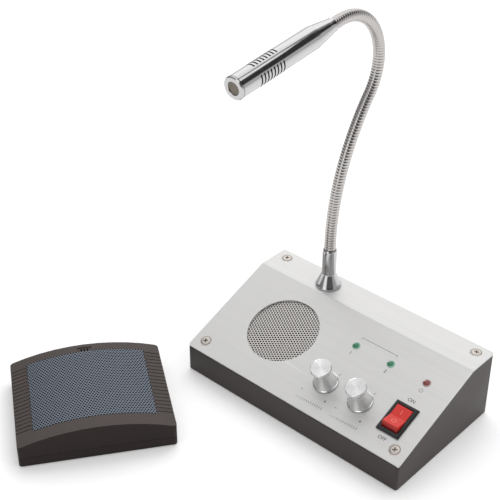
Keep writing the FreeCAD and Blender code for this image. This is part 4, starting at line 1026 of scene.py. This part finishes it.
class INTERCOM_OT_neck(bpy.types.Operator):
    """Wind the gooseneck, in one length for each joint"""
    bl_idname = "intercom.neck"
    bl_label = "Gooseneck"

    def execute(self, context):
        sizes = context.scene.intercom.neck
        chrome = polished_chrome("Chrome neck", sizes.rib_chrome, 0.12)
        # Painted shade: the grooves take a darker metal than the ribs
        groove = plain_metal("Neck grooves", (0.3, 0.285, 0.28), 0.35)
        joints = [joint for name, joint in sorted(JOINTS.items()) if name.startswith("neck_bend")]
        length = neck_length(sizes)
        stations = [self.station(sizes, Vector(joint["pos_m"]), length) for joint in joints]
        middles = [(a + b) / 2 for a, b in zip(stations, stations[1:])]
        stops = [-sizes.seat_depth] + middles + [length + sizes.seat_depth]
        pitch = sizes.rib_pitch
        ribs = [round(stop / pitch) for stop in stops]
        for i, joint in enumerate(joints):
            name = "neck_winding_%d" % (i + 1)
            piece = self.winding(name, sizes, ribs[i], ribs[i + 1], chrome)
            piece.data.materials.append(groove)
            centre, lean = neck_point(sizes, stations[i])
            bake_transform(piece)
            nodes = ["neck_section_%d" % (i + 1)] + (["neck_section_0"] if i == 0 else [])
            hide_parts(*nodes)
        return {"FINISHED"}

    def station(self, sizes, centre, length):
        """The length along the neck that is nearest to a joint's centre."""
        steps = 2000
        return min((length * i / steps for i in range(steps + 1)),
                   key=lambda s: (neck_point(sizes, s)[0] - centre).length)

    def winding(self, name, sizes, first, last, material):
        """Ribs from one count to another, along the neck's centreline."""
        sides = 32
        rings = [((rib + place) * sizes.rib_pitch, depth) for rib in range(first, last)
                 for place, depth in NECK_RIB] + [(last * sizes.rib_pitch, 1.0)]
        verts, faces = [], []
        for s, depth in rings:
            radius = sizes.diameter / 2 - sizes.rib_depth * depth
            centre, lean = neck_point(sizes, s)
            across = Vector((0, math.cos(lean), -math.sin(lean)))
            for i in range(sides):
                angle = 2 * math.pi * i / sides
                verts.append(centre + Vector((1, 0, 0)) * radius * math.cos(angle)
                             + across * radius * math.sin(angle))
        for k in range(len(rings) - 1):
            for i in range(sides):
                j = (i + 1) % sides
                faces.append([k * sides + i, k * sides + j,
                              (k + 1) * sides + j, (k + 1) * sides + i])
        piece = piece_from(name, verts, faces, material, None, 80)
        # The groove rings take the darker material: painted shade in the grooves
        for polygon in piece.data.polygons:
            if polygon.index // sides % len(NECK_RIB) in (0, len(NECK_RIB) - 1):
                polygon.material_index = 1
        return piece


# One rib: places along it as shares of the pitch, and how deep each is as a share of the groove
NECK_RIB = ((0.0, 1.0), (0.07, 0.75), (0.14, 0.4), (0.22, 0.14), (0.5, 0.0), (0.78, 0.14), (0.86, 0.4),
            (0.93, 0.75))


class INTERCOM_OT_microphone(bpy.types.Operator):
    """Make the slotted microphone tube, its front ring and its mesh"""
    bl_idname = "intercom.microphone"
    bl_label = "Microphone"

    def execute(self, context):
        sizes = context.scene.intercom.microphone
        neck = context.scene.intercom.neck
        chrome = polished_chrome("Chrome tube", shade(neck.chrome, 0.95), 0.09)
        end, lean = neck_point(neck, neck_length(neck))
        place = frame_from(end, (0, math.sin(lean), math.cos(lean)))
        self.tube(sizes, chrome, place)
        self.front(sizes, chrome, place)
        rubber = moulded_plastic("Bush rubber", (0.02, 0.02, 0.02), 0.75, 0.4 * MM)
        paint_node("capsule_holder", rubber)
        paint_node("mic_capsule", moulded_plastic("Capsule felt", (0.02, 0.02, 0.02), 0.9, 0.2 * MM))
        return {"FINISHED"}

    def tube(self, sizes, chrome, place):
        """The outside skin in rows and columns, left open at the slots, then given its wall."""
        radius = sizes.diameter / 2
        start = sizes.neck_diameter / 2
        end = sizes.length - sizes.tip_length
        heights = [(start, 0), (start, 0.6 * MM)]
        for step in range(1, 9):
            t = step / 9
            heights.append((start + (radius - start) * min(t, 1 - (1 - t) ** 2 * 1.2),
                            0.6 * MM + (sizes.taper - 0.6 * MM) * t))
        heights.append((radius, sizes.taper))
        rows = [(r, z, False) for r, z in heights]
        first = sizes.length - sizes.slot_front - (sizes.slot_count - 1) * sizes.slot_pitch
        for i in range(sizes.slot_count):
            z = first + i * sizes.slot_pitch
            rows.append((radius, z - sizes.slot_width / 2, True))
            rows.append((radius, z + sizes.slot_width / 2, False))
        rows.append((radius, end, False))
        columns = 120
        verts, faces = [], []
        group = 2 * math.pi / sizes.slot_groups
        for r, z, opened in rows:
            for i in range(columns):
                angle = 2 * math.pi * i / columns + sizes.slot_turn
                verts.append(Vector((r * math.cos(angle), r * math.sin(angle), z)))
        for k, (low, high) in enumerate(zip(rows, rows[1:])):
            for i in range(columns):
                middle_angle = (2 * math.pi * (i + 0.5) / columns + group / 2) % group - group / 2
                if low[2] and abs(middle_angle) < sizes.slot_arc / 2:
                    continue
                j = (i + 1) % columns
                faces.append([k * columns + i, k * columns + j,
                              (k + 1) * columns + j, (k + 1) * columns + i])
        tube = piece_from("mic_body", verts, faces, chrome, place, 50)
        tube.data.materials.append(moulded_plastic("Tube inside", (0.012, 0.012, 0.012), 0.7, 0.4 * MM))
        thicken(tube, sizes.wall, -1.0, 1)
        settle(tube, "microphone", "chrome", "mic_tube")

    def front(self, sizes, chrome, place):
        """The bevelled ring and the fine mesh behind it."""
        radius, opening = sizes.diameter / 2, sizes.opening / 2
        low, top = sizes.length - sizes.tip_length, sizes.length
        ring = rounded([(opening, low), (radius - 0.3 * MM, low), (radius - 0.3 * MM, low + 0.2 * MM),
                        (radius, low + 0.25 * MM), (radius, top - 0.55 * MM), (radius - 0.55 * MM, top),
                        (opening + 0.25 * MM, top), (opening, top - 0.25 * MM), (opening, low)],
                       0.12 * MM, 3)
        front = piece_from("mic_front_ring", *lathe(ring, 96), chrome, place, 50)
        settle(front, "microphone", "chrome", "mic_tip_ring")
        wire = plain_metal("Mesh wire", (0.26, 0.235, 0.20), 0.4)
        verts, faces = pierced_sheet(sizes.mesh_pitch, sizes.mesh_pitch * 0.55,
                                     lambda cell: cell.length < opening + sizes.mesh_pitch)
        mesh = piece_from("mic_front_mesh", verts, faces, wire,
                          place @ Matrix.Translation((0, 0, top - 0.6 * MM)))
        thicken(mesh, 0.2 * MM)
        settle(mesh, "microphone", "plain_steel", "mic_mesh")


# Outside unit

def outer_place():
    """The outside unit's frame: origin under the middle of its front edge, X across it."""
    tray = middle("outer_bottom_shell")
    turn = Matrix.Rotation(OUTER_HEADING, 4, "Z")
    return Matrix.Translation((tray.x, tray.y, 0)) @ turn @ Matrix.Translation((0, -OUTER_DEPTH / 2, 0))


OUTER_HEADING = math.radians(54.4)
OUTER_WIDTH, OUTER_DEPTH = 89.4 * MM, 75.4 * MM


class INTERCOM_OT_outside_cover(bpy.types.Operator):
    """Finish the outside unit's cover and tray"""
    bl_idname = "intercom.outside_cover"
    bl_label = "Outside cover and tray"

    def execute(self, context):
        sizes = context.scene.intercom.outside
        plastic = moulded_plastic("Cover plastic", sizes.cover_colour, 0.52, 0.35 * MM, 0.01,
                                  Specular_IOR_Level=0.13)
        # Painted light on the cover's upward faces
        self.paint_top_light(plastic, sizes.top_light_colour)
        for node in ("outer_top_shell", "outer_bottom_shell"):
            soften(paint_node(node, plastic), 0.18 * MM)
        return {"FINISHED"}

    def paint_top_light(self, plastic, colour):
        """Paints light on the faces that look up: they are mixed towards a lighter colour."""
        tree = plastic.node_tree
        shader = tree.nodes["Principled BSDF"]
        facing = tree.nodes.new("ShaderNodeNewGeometry")
        height = tree.nodes.new("ShaderNodeSeparateXYZ")
        tree.links.new(facing.outputs["Normal"], height.inputs["Vector"])
        mix = add(tree, "ShaderNodeMix", data_type="RGBA")
        tree.links.new(ranged(tree, height.outputs["Z"], 0.0, 0.75, 0.3, 0.95), mix.inputs[0])
        tree.links.new(shader.inputs["Base Color"].links[0].from_socket, mix.inputs[6])
        mix.inputs[7].default_value = (*colour, 1)
        tree.links.new(mix.outputs[2], shader.inputs["Base Color"])


class INTERCOM_OT_outside_mesh(bpy.types.Operator):
    """Pierce and bow the outside unit's mesh"""
    bl_idname = "intercom.outside_mesh"
    bl_label = "Outside mesh"

    def execute(self, context):
        sizes = context.scene.intercom.outside
        paint = plain_metal("Mesh paint", sizes.mesh_colour, 0.38)
        paint.node_tree.nodes["Principled BSDF"].inputs["Metallic"].default_value = 0.35
        width, depth, front = 69.6 * MM, 59.2 * MM, 9.5 * MM
        room = sizes.mesh_pitch
        verts, faces = pierced_sheet(sizes.mesh_pitch, sizes.mesh_hole,
                                     lambda place: abs(place.x) < width / 2 + room
                                     and abs(place.y) < depth / 2 + room, math.pi / 2)
        mesh = piece_from("outer_mesh", verts, faces, paint, outer_place())
        self.trim(mesh.data, width, depth)
        top = BOXES["outer_top_shell"][1].z
        radius = ((OUTER_WIDTH / 2) ** 2 + sizes.crown ** 2) / (2 * sizes.crown)
        for vert in mesh.data.vertices:
            x, y = vert.co.x, vert.co.y
            vert.co = (x, y + front + depth / 2, top - radius + math.sqrt(radius ** 2 - x ** 2))
        # The hole walls and rims take the paint at a fifth of its brightness: painted shade in the
        # holes
        mesh.data.materials.append(plain_metal("Mesh hole walls", shade(sizes.mesh_colour, 0.2), 0.6))
        thicken(mesh, sizes.mesh_thickness, -1.0, 1)
        settle(mesh, "console", "mesh_dark", "outer_grille")
        return {"FINISHED"}

    def trim(self, mesh, width, depth):
        """Cuts the flat mesh off at the window's edges."""
        bm = bmesh.new()
        bm.from_mesh(mesh)
        for axis, half in ((Vector((1, 0, 0)), width / 2), (Vector((0, 1, 0)), depth / 2)):
            for side in (-1, 1):
                geometry = bm.verts[:] + bm.edges[:] + bm.faces[:]
                bmesh.ops.bisect_plane(bm, geom=geometry, plane_co=axis * half * side,
                                       plane_no=axis * side, clear_outer=True)
        bm.to_mesh(mesh)
        bm.free()


class INTERCOM_OT_inner_parts(bpy.types.Operator):
    """Finish the parts inside both units and the sockets"""
    bl_idname = "intercom.inner_parts"
    bl_label = "Inner parts"

    def execute(self, context):
        zinc = plain_metal("Zinc plate", (0.5, 0.5, 0.5), 0.35)
        brass = plain_metal("Brass", (0.72, 0.55, 0.28), 0.3)
        black = moulded_plastic("Component black", (0.02, 0.02, 0.022), 0.45, 0.3 * MM, 0.01)
        cone = moulded_plastic("Cone paper", (0.03, 0.03, 0.03), 0.85, 0.25 * MM, 0.06)
        rubber = moulded_plastic("Gasket foam", (0.025, 0.025, 0.025), 0.9, 0.5 * MM, 0.05)
        ferrite = fine_paint("Ferrite", (0.04, 0.04, 0.042), 0.55, 0.4 * MM)
        board = fine_paint("Solder mask", (0.01, 0.12, 0.05), 0.3, 0.8 * MM)
        sink = brushed_aluminium("Heat sink", (0.55, 0.55, 0.55), 0.4, 2)
        groups = (
            (zinc, ("pot_inside", "pot_outside", "pot_nuts", "socket_nut", "outer_screws")),
            (brass, ("shaft_inside", "shaft_outside", "switch_tabs")),
            (black, ("amplifier_chip", "board_capacitors", "power_inlet", "outside_jack", "outer_jack",
                     "outer_mic", "outer_speaker_basket", "speaker_basket")),
            (cone, ("speaker_cone", "outer_speaker_cone")),
            (rubber, ("speaker_gasket",)),
            (ferrite, ("speaker_magnet", "outer_speaker_magnet")),
            (board, ("circuit_board",)),
            (sink, ("heat_sink",)),
        )
        for material, nodes in groups:
            for node in nodes:
                paint_node(node, material)
        return {"FINISHED"}


# Stage

class INTERCOM_OT_stage(bpy.types.Operator):
    """Set the camera, the pale floor and the soft light"""
    bl_idname = "intercom.stage"
    bl_label = "Stage"

    def execute(self, context):
        sizes = context.scene.intercom.stage
        scene = context.scene
        scene.view_settings.view_transform = "Standard"
        self.camera(scene, sizes)
        self.floor(sizes)
        self.world(scene, sizes)
        self.lights(sizes)
        return {"FINISHED"}

    def camera(self, scene, sizes):
        """The camera, at the photograph's viewing angle."""
        data = bpy.data.cameras.new("Camera")
        data.lens = sizes.focal_length
        data.sensor_width = 36.0
        data.clip_start = 10 * MM
        data.clip_end = 20.0
        camera = bpy.data.objects.new("Camera", data)
        camera.location = sizes.camera_place
        camera.rotation_euler = Euler(sizes.camera_turn)
        scene.collection.objects.link(camera)
        scene.camera = camera

    def floor(self, sizes):
        """A wide pale floor, white to the camera where nothing shades it."""
        material, tree, shader = finish("Floor", sizes.floor_colour, 0.0, 0.9)
        shader.inputs["Emission Color"].default_value = (1, 1, 1, 1)
        path = tree.nodes.new("ShaderNodeLightPath")
        seen = add(tree, "ShaderNodeMath", operation="MAXIMUM")
        tree.links.new(path.outputs["Is Camera Ray"], seen.inputs[0])
        tree.links.new(path.outputs["Is Glossy Ray"], seen.inputs[1])
        tree.links.new(ranged(tree, seen.outputs["Value"], 0.0, 0.2, 0.0, 1.0),
                       shader.inputs["Emission Strength"])
        grain = noise(tree, (40.0, 40.0, 40.0), 2.0)
        tree.links.new(ranged(tree, grain, 0.86, 0.94), shader.inputs["Roughness"])
        low = CAD_BOX[0][2]
        reach = 6.0
        verts = [Vector(p) for p in ((-reach, -reach, low), (reach, -reach, low), (reach, reach, low),
                                     (-reach, reach, low))]
        piece_from("Floor", verts, [[0, 1, 2, 3]], material)

    def world(self, scene, sizes):
        """Plain light that is stronger from above, a studio for glossy rays, white to the camera."""
        world = bpy.data.worlds.new("World")
        world.use_nodes = True
        tree = world.node_tree
        place = tree.nodes.new("ShaderNodeTexCoord")
        plain = tree.nodes["Background"]
        plain.inputs["Color"].default_value = (1, 1, 1, 1)
        towards = add(tree, "ShaderNodeVectorMath", operation="DOT_PRODUCT")
        towards.inputs[1].default_value = (0.25, 0.38, 0.9)
        tree.links.new(place.outputs["Generated"], towards.inputs[0])
        strength = ranged(tree, towards.outputs["Value"], sizes.low_light, sizes.high_light, -1.0, 1.0)
        tree.links.new(strength, plain.inputs["Strength"])
        studio = self.studio(tree, place)
        white = add(tree, "ShaderNodeBackground", Strength=1.0)
        white.inputs["Color"].default_value = (1, 1, 1, 1)
        path = tree.nodes.new("ShaderNodeLightPath")
        glossy = tree.nodes.new("ShaderNodeMixShader")
        tree.links.new(path.outputs["Is Glossy Ray"], glossy.inputs["Fac"])
        tree.links.new(plain.outputs["Background"], glossy.inputs[1])
        tree.links.new(studio.outputs["Background"], glossy.inputs[2])
        seen = tree.nodes.new("ShaderNodeMixShader")
        tree.links.new(path.outputs["Is Camera Ray"], seen.inputs["Fac"])
        tree.links.new(glossy.outputs["Shader"], seen.inputs[1])
        tree.links.new(white.outputs["Background"], seen.inputs[2])
        tree.links.new(seen.outputs["Shader"], tree.nodes["World Output"].inputs["Surface"])
        scene.world = world

    def studio(self, tree, place):
        """What polished metal reflects: bright boxes and dark walls all round, in three heights."""
        around = add(tree, "ShaderNodeTexGradient", gradient_type="RADIAL")
        tree.links.new(place.outputs["Generated"], around.inputs["Vector"])
        height = tree.nodes.new("ShaderNodeSeparateXYZ")
        tree.links.new(place.outputs["Generated"], height.inputs["Vector"])
        colour = None
        for heights, levels in STUDIO:
            walls = tree.nodes.new("ShaderNodeValToRGB")
            fill_ramp(walls.color_ramp, [((angle + 180) / 360, level) for angle, level in levels])
            tree.links.new(around.outputs["Fac"], walls.inputs["Fac"])
            if colour is None:
                colour = walls.outputs["Color"]
                continue
            mix = add(tree, "ShaderNodeMix", data_type="RGBA")
            tree.links.new(ranged(tree, height.outputs["Z"], 0.0, 1.0, *heights), mix.inputs[0])
            tree.links.new(colour, mix.inputs[6])
            tree.links.new(walls.outputs["Color"], mix.inputs[7])
            colour = mix.outputs[2]
        studio = add(tree, "ShaderNodeBackground", Strength=STUDIO_STRENGTH)
        tree.links.new(colour, studio.inputs["Color"])
        return studio

    def lights(self, sizes):
        """Two large soft lamps, and two small ones that only the lenses and knobs catch."""
        catchers = bpy.data.collections.get(CATCHERS) or bpy.data.collections.new(CATCHERS)
        for name, place, size, power in (
                ("Key light", (-0.35, 0.5, 1.1), 1.0, sizes.key_power),
                ("Side light", (1.15, 0.1, 0.35), 0.6, sizes.side_power),
                ("Small light", (-1.0, 0.42, 0.74), 0.14, sizes.small_power),
                ("Sparkle", (-0.92, 0.61, 0.68), 0.16, sizes.small_power)):
            data = bpy.data.lights.new(name, "AREA")
            data.energy = power
            data.shape = "SQUARE"
            data.size = size
            light = bpy.data.objects.new(name, data)
            light.location = place
            towards = Vector((0, 0, 0.05)) - Vector(place)
            light.rotation_euler = towards.to_track_quat("-Z", "Y").to_euler()
            small = size < 0.5
            light.visible_glossy = small
            if small:
                light.light_linking.receiver_collection = catchers
            bpy.context.scene.collection.objects.link(light)


# The studio's bands: the heights between which each takes over from the one under it, and its
# brightness by direction in degrees from +X towards +Y
STUDIO_STRENGTH = 1.1
STUDIO = (
    (None,
     ((-180, 0.2), (-150, 0.15), (-104, 0.3), (-98, 1.2), (-74, 1.2), (-66, 0.12), (-12, 0.12),
      (0, 0.5), (24, 0.55), (90, 0.55), (110, 0.8), (150, 0.8), (180, 0.2))),
    ((0.3, 0.37),
     ((-180, 0.4), (-150, 0.3), (-104, 0.3), (-98, 1.3), (-74, 1.3), (-66, 0.08), (-12, 0.08),
      (-2, 0.5), (16, 0.5), (24, 0.04), (74, 0.04), (78, 0.3), (90, 0.3), (95, 1.3), (160, 1.3),
      (180, 0.4))),
    ((0.75, 0.79),
     ((-180, 0.95), (-104, 0.8), (-66, 0.5), (-12, 0.5), (20, 1.2), (73, 1.2), (77, 0.3), (90, 0.3),
      (95, 1.15), (150, 1.15), (160, 0.95), (180, 0.95))),
)


PIECES = (
    INTERCOM_OT_stage, INTERCOM_OT_casing, INTERCOM_OT_panel, INTERCOM_OT_marks,
    INTERCOM_OT_speaker_grille, INTERCOM_OT_lamps, INTERCOM_OT_knobs, INTERCOM_OT_switch,
    INTERCOM_OT_foot, INTERCOM_OT_neck, INTERCOM_OT_microphone, INTERCOM_OT_outside_cover,
    INTERCOM_OT_outside_mesh, INTERCOM_OT_inner_parts,
)
GROUPS = (
    IntercomConsole, IntercomGrille, IntercomLamps, IntercomKnobs, IntercomSwitch, IntercomNeck,
    IntercomMicrophone, IntercomOutside, IntercomStage, IntercomSettings,
)


class INTERCOM_PT_pieces(bpy.types.Panel):
    """Lists every piece of the intercom"""
    bl_idname = "INTERCOM_PT_pieces"
    bl_label = "Intercom"
    bl_space_type = "VIEW_3D"
    bl_region_type = "UI"
    bl_category = "Intercom"

    def draw(self, context):
        for piece in PIECES:
            self.layout.operator(piece.bl_idname)


def register():
    for group in GROUPS:
        bpy.utils.register_class(group)
    bpy.types.Scene.intercom = PointerProperty(type=IntercomSettings)
    for piece in PIECES:
        bpy.utils.register_class(piece)
    bpy.utils.register_class(INTERCOM_PT_pieces)


def unregister():
    bpy.utils.unregister_class(INTERCOM_PT_pieces)
    for piece in reversed(PIECES):
        bpy.utils.unregister_class(piece)
    del bpy.types.Scene.intercom
    for group in reversed(GROUPS):
        bpy.utils.unregister_class(group)


def main():
    register()
    for piece in PIECES:
        area, name = piece.bl_idname.split(".")
        getattr(getattr(bpy.ops, area), name)()


if __name__ == "__main__":
    main()
